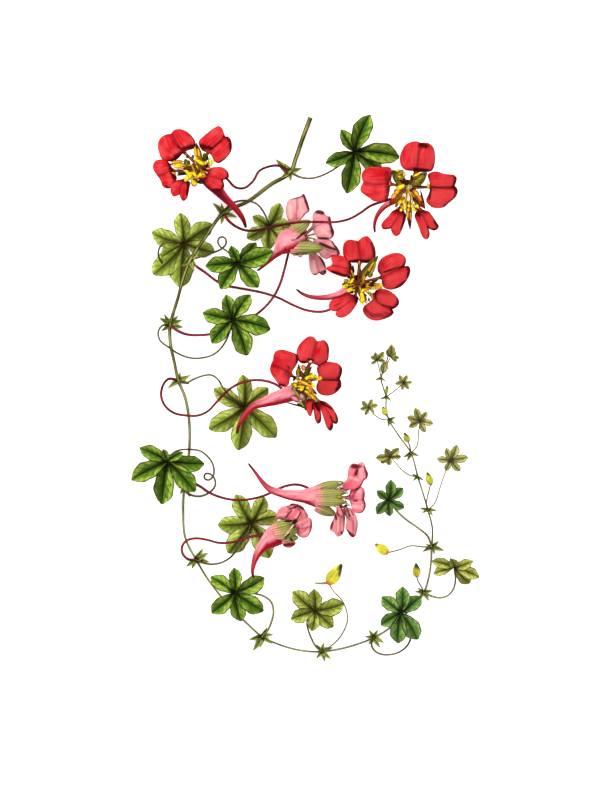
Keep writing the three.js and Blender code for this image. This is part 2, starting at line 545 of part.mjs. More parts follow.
// The ruff of stipules round a node: pointed lobes on a ring, left out where the stem runs on or a stalk
// leaves.
function ruff(name, grow) {
  const middle = at(NODES[name]);
  const place = STEM_ROUTE.indexOf(NODES[name]);
  const heading = bearing(STEM_ROUTE[place - 1], STEM_ROUTE[place + 1]);
  const taken = [heading, ...leavingDirections(name)];
  const size = THREE.MathUtils.lerp(1, 0.6, place / STEM_ROUTE.length);
  const spot = (degrees, reach, rise) => {
    const turn = THREE.MathUtils.degToRad(degrees);
    return new THREE.Vector3(Math.cos(turn) * reach, Math.sin(turn) * reach, rise).add(middle);
  };
  const corners = [];
  for (let k = 0; k < RUFF_LOBES; k++) {
    const [near, far] = [k, k + 1].map((step) => heading + (step * 360) / RUFF_LOBES);
    const ring = [spot(near, RUFF_RING * size + grow, 0), spot(far, RUFF_RING * size + grow, 0)];
    corners.push(middle, ...ring);
    const aim = (near + far) / 2;
    if (taken.some((other) => between(aim, other) < STIPULE_CLEAR)) continue;
    corners.push(ring[0], spot(aim, STIPULE_LENGTH * size + 2 * grow, STIPULE_RISE * size), ring[1]);
  }
  return blade(corners, BLADE_THICKNESS + 2 * grow);
}

function stem(grow = 0) {
  return joined([
    tube(STEM_ROUTE.map(at), STEM_RADII, STEM_CUT, grow),
    ...Object.keys(NODES).map((name) => ruff(name, grow)),
  ]);
}

function budBody({ base, tip, halfWidth }) {
  const swell = BUD_SWELL.map((share) => share * halfWidth);
  return tube([base, tip].map(at), swell, BUD_CUT);
}

function bud(piece) {
  const stalk = tube([piece.from, ...piece.way, piece.base].map(at), BUD_STALK_RADII, BUD_STALK_CUT);
  const parts = [budBody(piece), stalk];
  if (piece.spur) parts.push(tube([piece.base, ...piece.spur].map(at), BUD_SPUR_RADII, BUD_STALK_CUT));
  return joined(parts);
}

// ---------------------------------------------------------------- blooms
// A petal is a narrow claw and a broad blade with a notched end. Each row across it goes from its edge
// to its middle, and a point is its share of the petal's path, its share of the half width, and its
// share of the wave.
const PETAL = [
  [[0, 0.09, 0]],
  [[0.4, 0.2, 0]],
  [[0.58, 0.8, 0], [0.58, 0.4, -1], [0.58, 0, 0]],
  [[0.82, 1, 0.5], [1, 0.55, -1], [0.9, 0, 0]],
];
const WEDGE = [
  [[0, 0.12, 0]],
  [[0.4, 0.22, 0]],
  [[0.7, 0.62, 0], [0.7, 0.31, -1], [0.7, 0, 0]],
  [[0.93, 1, 0.5], [1, 0.6, -1], [0.8, 0, 0]],
];
const DISC = { radius: 1.9, low: 0.35, high: 1.5 }; // the ring that the claws spring from, above the throat
const CLAW_FOOT = [0.9, 1.4]; // forward and outward from the throat
const PETAL_WAVE = 0.06; // how far the two lobes of a petal swell, to its width

// The axes of a bloom: middle is the throat, out is where it faces.
function bloomFrame(bloom) {
  return { middle: at(bloom.throat), out: new THREE.Vector3(...bloom.facing).normalize() };
}

function radialOf({ middle, out }, point) {
  const reach = point.clone().sub(middle);
  return reach.addScaledVector(out, -reach.dot(out)).normalize();
}

function petal(frame, bloom, [across, down, height, width, twist = 0], rows) {
  const tip = at([across, down, height]);
  const radial = radialOf(frame, tip);
  const side = new THREE.Vector3().crossVectors(frame.out, radial);
  const spring = ([forward, outward]) =>
    frame.middle.clone().addScaledVector(frame.out, forward).addScaledVector(radial, outward);
  const path = new THREE.QuadraticBezierCurve3(spring(CLAW_FOOT), spring(bloom.sprung), tip);
  const point = ([share, half, wave], sign) => {
    const ahead = path.getTangent(share);
    const wide = side.clone().applyAxisAngle(ahead, THREE.MathUtils.degToRad(twist) * share);
    const normal = new THREE.Vector3().crossVectors(ahead, wide);
    return path
      .getPoint(share)
      .addScaledVector(wide, (sign * half * width) / 2)
      .addScaledVector(normal, wave * PETAL_WAVE * width);
  };
  const mirrored = (row) => row.filter(([, half]) => half > 0).reverse();
  const wholeRow = (row) => [...row.map((p) => point(p, -1)), ...mirrored(row).map((p) => point(p, 1))];
  return blade(sheetBetween(rows.map(wholeRow)));
}

// A short cylinder on the axis of a bloom, between two heights over the throat.
function throatDisc(frame, { radius, low, high }) {
  const disc = new THREE.CylinderGeometry(radius, radius, high - low, 6);
  disc.applyQuaternion(new THREE.Quaternion().setFromUnitVectors(new THREE.Vector3(0, 1, 0), frame.out));
  const seat = frame.middle.clone().addScaledVector(frame.out, (low + high) / 2);
  return solidOf(disc.translate(seat.x, seat.y, seat.z));
}

function corolla(bloom) {
  const frame = bloomFrame(bloom);
  return joined([
    throatDisc(frame, DISC),
    ...bloom.petals.map((p) => petal(frame, bloom, p, PETAL)),
    ...bloom.wedges.map((p) => petal(frame, bloom, p, WEDGE)),
  ]);
}

// The calyx cup and its spur: the first stretch runs straight back from the throat.
function spurTube(bloom, grow = 0) {
  const { middle, out } = bloomFrame(bloom);
  const behind = middle.clone().addScaledVector(out, -CUP_DEPTH);
  return tube([middle, behind, ...bloom.spur.map(at)], bloom.spurRadii, SPUR_CUT, grow);
}

// The turn about the axis of a bloom at which each petal stands, from the first petal.
function petalTurns(frame, bloom) {
  const first = radialOf(frame, at(bloom.petals[0]));
  const second = new THREE.Vector3().crossVectors(frame.out, first);
  const turns = [...bloom.petals, ...bloom.wedges]
    .map((p) => radialOf(frame, at(p)))
    .map((r) => (Math.atan2(r.dot(second), r.dot(first)) + 2 * Math.PI) % (2 * Math.PI))
    .sort((a, b) => a - b);
  const radialAt = (turn) =>
    first.clone().multiplyScalar(Math.cos(turn)).addScaledVector(second, Math.sin(turn));
  return { turns, radialAt };
}

// A direction that leans from the axis of a bloom towards a radial direction.
function leaning(frame, radial, degrees) {
  const lean = THREE.MathUtils.degToRad(degrees);
  return frame.out.clone().multiplyScalar(Math.cos(lean)).addScaledVector(radial, Math.sin(lean));
}

// A sepal in each gap between two petals, narrower where the gap is.
function sepals(bloom) {
  const frame = bloomFrame(bloom);
  const { turns, radialAt } = petalTurns(frame, bloom);
  return turns.map((turn, k) => {
    const gap = (k + 1 < turns.length ? turns[k + 1] : turns[0] + 2 * Math.PI) - turn;
    const radial = radialAt(turn + gap / 2);
    const side = new THREE.Vector3().crossVectors(frame.out, radial);
    const ahead = leaning(frame, radial, bloom.sepal.spread);
    const root = frame.middle
      .clone()
      .addScaledVector(frame.out, SEPAL_ROOT)
      .addScaledVector(radial, bloom.spurRadii[0] - SEPAL_SINK);
    const { length, half } = bloom.sepal;
    const wide = half * Math.min(1, gap);
    const row = (share, width) =>
      [-1, 0, 1].map((u) =>
        root
          .clone()
          .addScaledVector(ahead, share * length)
          .addScaledVector(side, u * width * wide)
          .addScaledVector(frame.out, SEPAL_CUP * Math.abs(u)),
      );
    return blade(sheetBetween([row(0, 0.6), row(0.45, 1), [root.clone().addScaledVector(ahead, length)]]));
  });
}

function stamens(bloom) {
  const frame = bloomFrame(bloom);
  const { radialAt } = petalTurns(frame, bloom);
  const [low, other] = bloom.wedges.map((p) => radialOf(frame, at(p)));
  const droop = low.clone().add(other).multiplyScalar(STAMEN_DROOP);
  const parts = [throatDisc(frame, STAMEN_BASE)];
  for (let k = 0; k < STAMENS; k++) {
    const radial = radialAt(((k + 0.5) * 2 * Math.PI) / STAMENS);
    const ahead = leaning(frame, radial, bloom.stamen.spread).add(droop).normalize();
    const foot = frame.middle
      .clone()
      .addScaledVector(frame.out, STAMEN_FOOT.forward)
      .addScaledVector(radial, STAMEN_FOOT.outward);
    const top = foot.clone().addScaledVector(ahead, bloom.stamen.length * (k % 2 ? 1 : SHORT_STAMEN));
    parts.push(tube([foot, top], STAMEN_RADII, STAMEN_CUT));
  }
  return joined(parts);
}

// ---------------------------------------------------------------- assembly
const TURNED_OVER = new Set(["leaf_02", "leaf_03", "leaf_06", "leaf_08"]);
const onTable = (solid) => solid.trimByPlane([0, 0, 1], 0);
const stemSpace = stem(SEAT_GAP); // what every leaf, stalk and bud stays clear of
const carried = (solid) => largest(onTable(solid.subtract(stemSpace)));

const plant = new THREE.Group();

const wholeStem = joined([
  stem(),
  ...TIP_LEAVES.map((piece) => leaf(piece, YOUNG_LEAFLET)),
  bud(TIP_BUD),
]);
plant.add(meshOf("main_stem", onTable(wholeStem), STEM_GREEN));

for (const piece of LEAVES) {
  const turnedOver = TURNED_OVER.has(piece.name);
  const solid = leaf({ ...piece, from: NODES[piece.node], turnedOver }, LEAFLET);
  plant.add(meshOf(piece.name, carried(solid), turnedOver ? LEAF_BACK : LEAF_GREEN));
}
for (const piece of YOUNG_LEAVES) {
  const solid = leaf({ ...piece, from: NODES[piece.node] }, YOUNG_LEAFLET);
  plant.add(meshOf(piece.name, carried(solid), YOUNG_GREEN));
}
for (const piece of BUDS) {
  plant.add(meshOf(piece.name, carried(bud({ ...piece, from: NODES[piece.node] })), BUD_YELLOW));
}
for (const bloom of BLOOMS) {
  const route = [NODES[bloom.node], ...bloom.stalk].map(at);
  const stalk = tube(route, STALK_RADII, STALK_CUT).subtract(spurTube(bloom, SEAT_GAP));
  plant.add(meshOf(bloom.name + "_stalk", carried(stalk), STALK_RED));
  plant.add(meshOf(bloom.name + "_calyx", joined([spurTube(bloom), ...sepals(bloom)]), CALYX_PINK));
  plant.add(meshOf(bloom.name + "_petals", corolla(bloom), bloom.petalPaint));
  plant.add(meshOf(bloom.name + "_stamens", stamens(bloom), STAMEN_YELLOW));
}

export default plant;
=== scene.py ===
# %% [markdown]
# # A cut stem of flame nasturtium
# The real object is a climbing stem, cut from its plant and laid on a table in a long open hook. It carries
# leaves like small hands, scarlet flowers on thin red stalks, each with a long spur behind it, and a few
# buds. The frame holds a plain solid for every leaf, flower and bud at its real place. Each one could be
# given a better material only, but petals and leaves look right when their edges roll and their midribs
# sink. So every solid is replaced here by a finer piece that grows along the same lines.

# %% Load the frame
import math
import random

import bmesh
import bpy
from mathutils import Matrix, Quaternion, Vector


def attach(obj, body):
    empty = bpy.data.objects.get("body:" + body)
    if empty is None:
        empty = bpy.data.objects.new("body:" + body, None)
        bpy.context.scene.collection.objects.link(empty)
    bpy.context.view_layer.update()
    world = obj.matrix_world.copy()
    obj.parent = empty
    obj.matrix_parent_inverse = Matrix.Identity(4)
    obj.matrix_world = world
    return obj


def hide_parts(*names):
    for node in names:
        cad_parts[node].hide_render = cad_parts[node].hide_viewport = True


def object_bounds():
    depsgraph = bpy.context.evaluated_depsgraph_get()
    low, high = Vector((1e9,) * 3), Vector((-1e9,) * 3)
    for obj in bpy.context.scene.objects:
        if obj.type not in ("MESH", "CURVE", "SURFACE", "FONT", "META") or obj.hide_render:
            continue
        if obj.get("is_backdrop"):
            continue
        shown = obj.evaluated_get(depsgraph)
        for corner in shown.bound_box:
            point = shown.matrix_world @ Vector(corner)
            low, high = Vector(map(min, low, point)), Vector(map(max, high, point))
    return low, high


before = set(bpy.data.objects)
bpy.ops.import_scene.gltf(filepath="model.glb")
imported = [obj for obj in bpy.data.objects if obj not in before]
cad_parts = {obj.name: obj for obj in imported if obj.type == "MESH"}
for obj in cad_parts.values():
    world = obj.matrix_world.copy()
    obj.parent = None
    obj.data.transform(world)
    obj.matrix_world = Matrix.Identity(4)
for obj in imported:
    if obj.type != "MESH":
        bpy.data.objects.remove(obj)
cad_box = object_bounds()
print("solids in the frame:", len(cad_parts))

# %% [markdown]
# ## Where things are
# Everything is placed on a plan: a grid seen from above, whose squares are 0.4 mm wide, with a height in
# millimetres as the third number. The plan could also be drawn with empties in the viewport. Tables of
# numbers are used instead, because the solids of the frame were grown from the same ones, and so the pieces
# meet them.

# %% From a plan point to a place in metres
MM = 0.001
GRID = 0.4 * MM
PLAN_CENTRE = (305.5, 387.7)
UP = Vector((0, 0, 1))


def place(spot):
    """The place in metres of a plan point: across, down and height."""
    across, down, height = spot
    return Vector(((across - PLAN_CENTRE[0]) * GRID, (PLAN_CENTRE[1] - down) * GRID, height * MM))


# %% The nodes of the stem, from the cut end to the growing tip
NODES = {
    "n1": (290, 172, 0.8), "n2": (223, 213, 2), "n3": (190, 260, 4.8), "n4": (170, 325, 0.68),
    "n5": (178, 380, 0.64), "n6": (184, 488, 0.6), "n7": (196, 560, 0.56), "n8": (262, 637, 0.52),
    "n9": (322, 652, 0.5), "n10": (374, 638, 0.48), "n11": (424, 593, 0.46), "n12": (432, 547, 1),
    "n13": (428, 510, 3.6), "n14": (418, 477, 5.8), "n15": (411, 453, 7.6), "n16": (389, 420, 9.8),
    "n17": (386, 397, 11.8), "n18": (381, 378, 13.8),
}
print("nodes of the stem:", len(NODES))

# %% [markdown]
# ## Floor, light and camera
# The stem lies on a light table, whose glow washes out most shadows, and is looked at from straight above. A
# wide lens close by would show the tall flowers larger than the low ones, so a long lens stands far off. One
# large lamp at the upper left rounds the petals, and a bright world keeps the shadows soft. A sun lamp would
# do too, but its shadows are hard.

# %% Set up the studio
PICTURE = (600, 800)
LENS = 600
SENSOR = 36
FARTHEST = 20
TABLE_SIZE = 6
LAMP_COLOUR = (1, 0.97, 0.91)
ROOM_COLOUR = (1, 0.985, 0.95, 1)
ROOM_LIGHT = 0.74
AIM = place((PICTURE[0] / 2, PICTURE[1] / 2, 10))

bpy.ops.mesh.primitive_plane_add(size=TABLE_SIZE)
floor = bpy.context.object
floor.name = "table_top"
floor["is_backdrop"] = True

bpy.ops.object.camera_add(location=AIM + UP * (PICTURE[1] * GRID * LENS / SENSOR))
camera = bpy.context.object
camera.data.lens = LENS
camera.data.sensor_width = SENSOR
camera.data.clip_end = FARTHEST
bpy.context.scene.camera = camera


def lamp(name, spot, size, power):
    """A square soft lamp that shines at the middle of the plant."""
    bpy.ops.object.light_add(type="AREA", location=spot)
    made = bpy.context.object
    made.name = name
    made.data.size = size
    made.data.energy = power
    made.data.color = LAMP_COLOUR
    made.rotation_euler = (AIM - Vector(spot)).to_track_quat("-Z", "Y").to_euler()


lamp("window", (-0.8, 0.8, 1.1), 0.8, 19)
lamp("bounce", (0.9, -0.7, 1.2), 1.4, 10)
world = bpy.context.scene.world or bpy.data.worlds.new("room")
bpy.context.scene.world = world
world.use_nodes = True
glow = world.node_tree.nodes["Background"].inputs
glow["Color"].default_value = ROOM_COLOUR
glow["Strength"].default_value = ROOM_LIGHT
bpy.context.scene.view_settings.view_transform = "Standard"
print("camera", round(camera.location.z, 3), "m above the table")

# %% [markdown]
# ## Colours and finishes
# A finish is a small network of shader nodes. The nodes could be placed by hand in the shader editor. Here a
# short class stands for a socket and turns Python sums into Math nodes, so that a pattern reads as a
# formula. A blade carries a UV map that runs across it and along it, and a stalk one that runs along it and
# around it, so veins, creases and flushes of colour follow each piece wherever it is bent.

# %% Sockets that can be reckoned with
def rgb(red, green, blue):
    """A colour given in steps of 0 to 255, as light."""
    channels = [value / 255 for value in (red, green, blue)]
    return tuple(((c + 0.055) / 1.055) ** 2.4 if c > 0.04 else c / 12.92 for c in channels) + (1,)


class Wire:
    """The output of a shader node, which takes part in sums as a number does."""

    def __init__(self, finish, socket):
        self.finish = finish
        self.socket = socket

    def maths(self, operation, *values):
        return self.finish.node("Math", {"operation": operation}, dict(enumerate(values)))

    def __add__(self, other):
        return self.maths("ADD", self, other)

    def __radd__(self, other):
        return self.maths("ADD", other, self)

    def __sub__(self, other):
        return self.maths("SUBTRACT", self, other)

    def __rsub__(self, other):
        return self.maths("SUBTRACT", other, self)

    def __mul__(self, other):
        return self.maths("MULTIPLY", self, other)

    def __rmul__(self, other):
        return self.maths("MULTIPLY", other, self)

    def __abs__(self):
        return self.maths("ABSOLUTE", self)

    def wave(self):
        """The sine of as many full turns as this value."""
        return self.maths("SINE", self * math.tau)


class Finish:
    """A material whose colour and relief are built from nodes."""

    def __init__(self, name, roughness, **steady):
        self.material = bpy.data.materials.new(name)
        self.material.use_nodes = True
        self.tree = self.material.node_tree
        self.shader = self.tree.nodes["Principled BSDF"]
        self.shader.inputs["Roughness"].default_value = roughness
        for socket, value in steady.items():
            self.shader.inputs[socket.replace("_", " ")].default_value = value
        self.points = self.node("TexCoord", out="Object")

    def node(self, kind, settings=None, sockets=None, out=0):
        """A new node: its settings come first, then the values or wires of its sockets."""
        made = self.tree.nodes.new("ShaderNode" + kind)
        for setting, value in (settings or {}).items():
            setattr(made, setting, value)
        for socket, value in (sockets or {}).items():
            self.feed(made.inputs[socket], value)
        return Wire(self, made.outputs[out])

    def feed(self, socket, value):
        if isinstance(value, Wire):
            self.tree.links.new(value.socket, socket)
        else:
            socket.default_value = value

    def map(self):
        """The two directions of the piece's own UV map."""
        uv = self.node("TexCoord", out="UV")
        return (self.node("SeparateXYZ", sockets={0: uv}, out=k) for k in (0, 1))

    def fade(self, value, start, end):
        """0 up to start, 1 from end on, and smooth in between."""
        limits = {"Value": value, "From Min": start, "From Max": end}
        return self.node("MapRange", {"interpolation_type": "SMOOTHSTEP"}, limits)

    def speckle(self, scale, detail=3, vector=None):
        """Noise from 0 to 1, on the piece's place in space if no vector is given."""
        sockets = {"Vector": vector or self.points, "Scale": scale, "Detail": detail}
        return self.node("TexNoise", sockets=sockets)

    def streak(self, first, second, scale=1, detail=2):
        """Noise drawn out into streaks: the two directions are given their own scales."""
        vector = self.node("CombineXYZ", sockets={0: first, 1: second})
        return self.speckle(scale, detail, vector)

    def facing(self, direction):
        """How far the surface looks towards a fixed direction, from -1 to 1."""
        normal = self.node("NewGeometry", out="Normal")
        sockets = {0: normal, 1: Vector(direction).normalized()}
        return self.node("VectorMath", {"operation": "DOT_PRODUCT"}, sockets, out="Value")

    def blend(self, share, first, second):
        """From the first colour to the second."""
        return self.node("Mix", {"data_type": "RGBA"}, {0: share, 6: first, 7: second}, out=2)

    def colour(self, value):
        self.feed(self.shader.inputs["Base Color"], value)

    def relief(self, height, depth, strength=1):
        sockets = {"Height": height, "Distance": depth, "Strength": strength}
        self.feed(self.shader.inputs["Normal"], self.node("Bump", sockets=sockets))


skins = {}


def finish_all(maker, rows):
    """One material for each row: its colours go through rgb, and its plain numbers stay as they are."""
    for name, row in rows.items():
        skins[name] = maker(name, *(rgb(*value) if isinstance(value, tuple) else value for value in row))
    print("finished:", *rows)


# %% [markdown]
# ### The table top
# The table is a sheet of milk glass over a lamp. A white emission alone would do, but then nothing would
# rest on it, so it glows only a little and keeps a trace of unevenness and of shadow.

# %% Finish the table top
board = Finish("milk_glass", 0.85, Emission_Color=(1, 1, 1, 1), Emission_Strength=0.5)
board.colour(board.blend(board.speckle(9, 2), rgb(250, 250, 250), rgb(255, 255, 255)))
floor.data.materials.append(board.material)
print("the table top glows with a strength of", board.shader.inputs["Emission Strength"].default_value)

# %% [markdown]
# ### Leaves
# A leaf of this plant is green and slightly glossy above and paler beneath. Its midrib and the ground next to
# it are the darkest parts, and the ground there is painted shade in the fold. The side veins run out to the
# margin, and painted shade darkens the half of each leaflet that turns away from the window, and all leaflets
# where they meet. A picture of a leaf would be quick, but a formula on the blade's own map stays sharp and
# follows every bend. The same function gives all seven greens, and only the colours change: each row goes
# from the margin of the blade by its middle and its ribs, whose colour also serves for painted shade, to the
# hub, the colour of the darkest painted shade, and says last how far the veins stand up.

# %% Finish the leaves
SHADE_SIDE = (0.75, -0.6, -0.25)  # away from the window


def leaf_finish(name, margin, blade, rib_and_shade, hub, rise):
    """Green blades. rise is how far the veins stand up, or how far they sink if it is below 0."""
    finish = Finish(name, 0.6, Specular_IOR_Level=0.02)
    across, along = finish.map()
    off = abs(across - 0.5) * 2
    mottle = finish.speckle(520, 4)
    wash = finish.speckle(130, 2)
    brush = finish.streak((across - 0.5) * 14 - along * 6, along * 3 + off * 4, 1.6, 3)
    colour = finish.blend(finish.fade(off + (mottle + brush + wash - 1.5) * 1.5, 0.35, 0.8), blade, margin)
    veins = finish.fade((along * 6.5 - off * 1.5 + brush * 0.4).wave(), 0.3, 1) * finish.fade(off, 0.05, 0.3)
    colour = finish.blend(veins * 0.4, colour, rib_and_shade)
    # Painted shade: the half of a leaflet that turns away from the window is darkened.
    away_shade = finish.fade(finish.facing(SHADE_SIDE) + (brush - 0.5) * 0.7, -0.3, 0.3)
    colour = finish.blend(away_shade * 0.7, colour, rib_and_shade)
    # Painted shade along the fold of the midrib, fading out towards the tip.
    shade = finish.fade(off + (brush + wash - 1) * 0.5, 0.5, 0.1) * finish.fade(along, 1.15, 0.35)
    colour = finish.blend(shade * 0.65, colour, rib_and_shade)
    midrib = finish.fade(off, 0.12, 0.03) * finish.fade(along, 1.15, 0.6)
    colour = finish.blend(midrib * 0.75, colour, hub)
    # Painted shade where the leaflets meet at the hub.
    colour = finish.blend(finish.fade(along + (mottle - 0.5) * 0.3, 0.44, 0.1) * 0.95, colour, hub)
    colour = finish.blend(finish.fade(off + (brush - 0.5) * 0.2, 0.84, 0.98) * 0.8, colour, hub)
    finish.colour(finish.blend(finish.fade(along, 0.86, 1) * 0.6, colour, hub))
    finish.relief(veins * (0.5 * rise) + midrib * rise + mottle * 0.3, 0.25 * MM, 0.7)
    return finish.material


finish_all(leaf_finish, {
    "leaf_green": ((154, 182, 70), (90, 130, 36), (22, 38, 8), (5, 10, 2), -1),
    "leaf_blue_green": ((138, 172, 94), (92, 132, 60), (34, 56, 18), (12, 24, 6), -1),
    "leaf_back": ((188, 204, 100), (142, 162, 62), (56, 66, 14), (44, 36, 8), 1),
    "leaf_olive": ((188, 198, 98), (142, 154, 60), (56, 60, 16), (32, 32, 6), -1),
    "leaf_young": ((200, 198, 128), (156, 156, 84), (92, 90, 44), (56, 52, 24), -1),
    "stipule_green": ((176, 186, 92), (112, 128, 50), (48, 58, 16), (24, 26, 8), -1),
    "leaf_pale": ((202, 206, 112), (162, 168, 72), (74, 78, 24), (44, 44, 12), -1),
})

# %% [markdown]
# ### Stem and stalks
# The stem is olive, its flanks are painted nearly black as shade, and fine lines run along it. The stalks of
# most grown leaves are thin and dark, those of buds and young leaves are pale, and flower stalks are a deep
# maroon.
# All of them are round and striped lengthwise, and painted shade darkens their flanks and the side away from
# the window, so one function with three colours is enough: the noise is squeezed around the stalk and drawn
# out along it.

# %% Finish the stem and the stalks
def stalk_finish(name, light, middle, dark):
    """Round green or red stalks: light lines along the top, and painted shade in the darkest colour down both
    flanks and on the side away from the window.
    """
    finish = Finish(name, 0.5, Specular_IOR_Level=0.06)
    along, around = finish.map()
    lines = finish.streak(around * 9, along * 40)
    patches = finish.speckle(160, 3)
    colour = finish.blend(finish.fade(lines + patches, 0.8, 1.15), light, middle)
    # Painted shade on the side that turns away from the window.
    shade = finish.fade(finish.facing(SHADE_SIDE) + (patches - 0.5) * 0.9, -0.1, 0.45)
    colour = finish.blend(shade * 0.9, colour, dark)
    # Painted shade down both flanks, where the stalk turns away from the light above.
    flank = finish.fade(finish.facing(UP) + (patches - 0.5) * 0.3, 0.96, 0.68)
    finish.colour(finish.blend(flank * 0.9, colour, dark))
    finish.relief(lines, 0.12 * MM, 0.5)
    return finish.material


finish_all(stalk_finish, {
    "stem_green": ((158, 156, 84), (92, 88, 34), (22, 16, 4)),
    "leaf_stalk": ((122, 114, 62), (66, 56, 28), (22, 14, 8)),
    "flower_stalk": ((158, 40, 54), (110, 13, 28), (36, 2, 8)),
    "bud_stalk": ((166, 160, 98), (112, 106, 54), (54, 44, 22)),
})

# %% [markdown]
# ### Petals
# A petal is scarlet, with painted shade in the crease down its middle, fine veins that fan out from the claw,
# and a painted maroon shadow where the blade narrows. The claw itself is golden with dark margins. From
# behind, the petals of the younger flowers are pink. Velvet could be faked with a sheen, but a soft roughness
# and the fine veins in the relief read better in both near and far views. Painted shade in the folds and
# along the margins, and painted highlights, come from a number called paint, which each petal carries at its
# corners. The side of a petal turned away from the window is painted lighter, so that its shade is evened
# out.

# %% Finish the petals
# paint is painted shade above 0 and a painted highlight below 0.
PAINT = "paint"  # above 0 where a petal is darker than the rest, below 0 where it is paler


def petal_finish(name, light, blade, shade, deep_shade, pale, claw, claw_edge, crease_shade, dusk):
    """Petals, mapped across and from the claw to the end. dusk is how dark the painted shadow on the blade is
    next to the claw.
    """
    finish = Finish(name, 0.65, Specular_IOR_Level=0.02)
    across, along = finish.map()
    off = abs(across - 0.5) * 2
    veins = finish.streak((across - 0.5) * 22, along * 2.6)
    patches = finish.speckle(170, 3)
    colour = finish.blend(finish.fade(veins * 0.6 + patches * 0.8, 0.52, 0.85), light, blade)
    # Painted light: the side turned away from the window is painted lighter, which evens out its shade.
    away = finish.facing(SHADE_SIDE) + (patches + veins - 1) * 0.4
    colour = finish.blend(finish.fade(away, -0.35, 0.25) * 0.6, colour, light)
    # Painted shade in the crease down the middle of the blade.
    crease = finish.fade(off + (veins - 0.5) * 0.16, 0.16, 0) * finish.fade(along, 0.36, 0.6)
    colour = finish.blend(crease * crease_shade, colour, shade)
    # Painted shade along the margins, where they roll back.
    rim = finish.fade(off + (patches - 0.5) * 0.2, 0.86, 1)
    colour = finish.blend(rim * 0.35, colour, shade)
    # A painted maroon shadow on the blade next to the claw.
    colour = finish.blend(finish.fade(along + (veins - 0.5) * 0.34, 0.6, 0.4) * dusk, colour, shade)
    paint = finish.node("Attribute", {"attribute_name": PAINT}, out="Fac")
    # Painted highlights where paint is below 0, and paler patches at random.
    colour = finish.blend(finish.fade((patches + veins - 1) * 0.4 - paint, 0.2, 0.8) * 0.6, colour, pale)
    # Painted shade where paint is above 0.
    colour = finish.blend(finish.fade(paint + (patches + veins - 1) * 0.4, 0.1, 0.95) * 0.95, colour, deep_shade)
    throat = finish.blend(finish.fade(off, 0.1, 0.6), claw, claw_edge)
    finish.colour(finish.blend(finish.fade(along + (veins - 0.5) * 0.06, 0.36, 0.31), colour, throat))
    finish.relief(veins * 0.5 - crease, 0.2 * MM, 0.6)
    return finish.material


finish_all(petal_finish, {
    "petal_scarlet": (
        (210, 62, 66), (180, 18, 30), (92, 0, 8), (58, 0, 5), (238, 130, 136), (190, 96, 26), (50, 6, 6),
        0.55, 0.92,
    ),
    "petal_rose": (
        (234, 150, 158), (216, 98, 116), (162, 34, 62), (84, 0, 16), (250, 200, 196), (234, 190, 186),
        (150, 60, 80), 0.5, 0.4,
    ),
    "petal_pink": (
        (236, 170, 176), (216, 128, 140), (128, 26, 52), (64, 0, 12), (250, 214, 196), (226, 150, 150),
        (120, 24, 44), 0.4, 0.35,
    ),
})

# %% [markdown]
# ### Calyx and spur
# The calyx is a cup that runs out into a spur as long as the flower is wide. It is pale pink at the mouth,
# painted deep rose below as shade, on one flower painted dark where the petals hide it, and deep crimson at
# its tip. Its five lobes, the sepals, are golden inside an open flower, and olive green outside a cupped one.
# Two finishes do this, one for tubes and one for the lobes.

# %% Finish the calyx and its lobes
# Painted shade falls on the flank of a lying spur that turns this way, away from the window.
LOW_SIDE = (0.35, -0.85, 0.1)  # the flank of a lying spur that turns to the foot of the plan
SPUR_RED = rgb(158, 18, 42)
SPUR_TIP = rgb(48, 2, 12)
CUP_MOUTH = rgb(46, 14, 8)


def calyx_finish(name, light, middle, dark, near):
    """Cups with their spurs. near is how dark the painted shade is where the flower hides them."""
    finish = Finish(name, 0.6, Specular_IOR_Level=0.05)
    along, around = finish.map()
    streaks = finish.streak(around * 12, along * 5)
    colour = finish.blend(finish.fade(streaks, 0.35, 0.7), light, middle)
    # Painted shade on the flank that turns away from the window.
    low_side_shade = finish.fade(finish.facing(LOW_SIDE) + (streaks - 0.5) * 0.4, 0.15, 0.6)
    colour = finish.blend(low_side_shade, colour, dark)
    # Painted shade where the flower hides the cup.
    colour = finish.blend(finish.fade(along + (streaks - 0.5) * 0.12, 0.5, 0.38) * near, colour, dark)
    colour = finish.blend(finish.fade(along + (streaks - 0.5) * 0.2, 0.35, 0.7) * 0.9, colour, SPUR_RED)
    colour = finish.blend(finish.fade(along, 0.8, 1), colour, SPUR_TIP)
    finish.colour(finish.blend(finish.fade(along, 0.008, 0.002), colour, CUP_MOUTH))
    finish.relief(streaks, 0.18 * MM, 0.6)
    return finish.material


def sepal_finish(name, base, blade, tip, line):
    """Sepals: three colours from root to tip, and one for the ribs, the margins and the side in shade."""
    finish = Finish(name, 0.6, Specular_IOR_Level=0.06)
    across, along = finish.map()
    off = abs(across - 0.5) * 2
    wash = finish.speckle(260, 3)
    ribs = finish.fade((across * 5).wave() + (finish.speckle(300, 2) - 0.5), -0.2, 0.9)
    colour = finish.blend(finish.fade(along + (wash - 0.5) * 0.4, 0.05, 0.4), base, blade)
    colour = finish.blend(ribs * 0.5, colour, line)
    away = finish.fade(finish.facing(SHADE_SIDE) + (wash - 0.5) * 0.6, -0.1, 0.5)
    colour = finish.blend(away * 0.6, colour, line)
    colour = finish.blend(finish.fade(along + (ribs - 0.5) * 0.1, 0.6, 1), colour, tip)
    finish.colour(finish.blend(finish.fade(off + (wash - 0.5) * 0.2, 0.8, 0.97) * 0.75, colour, line))
    finish.relief(ribs, 0.15 * MM, 0.6)
    return finish.material


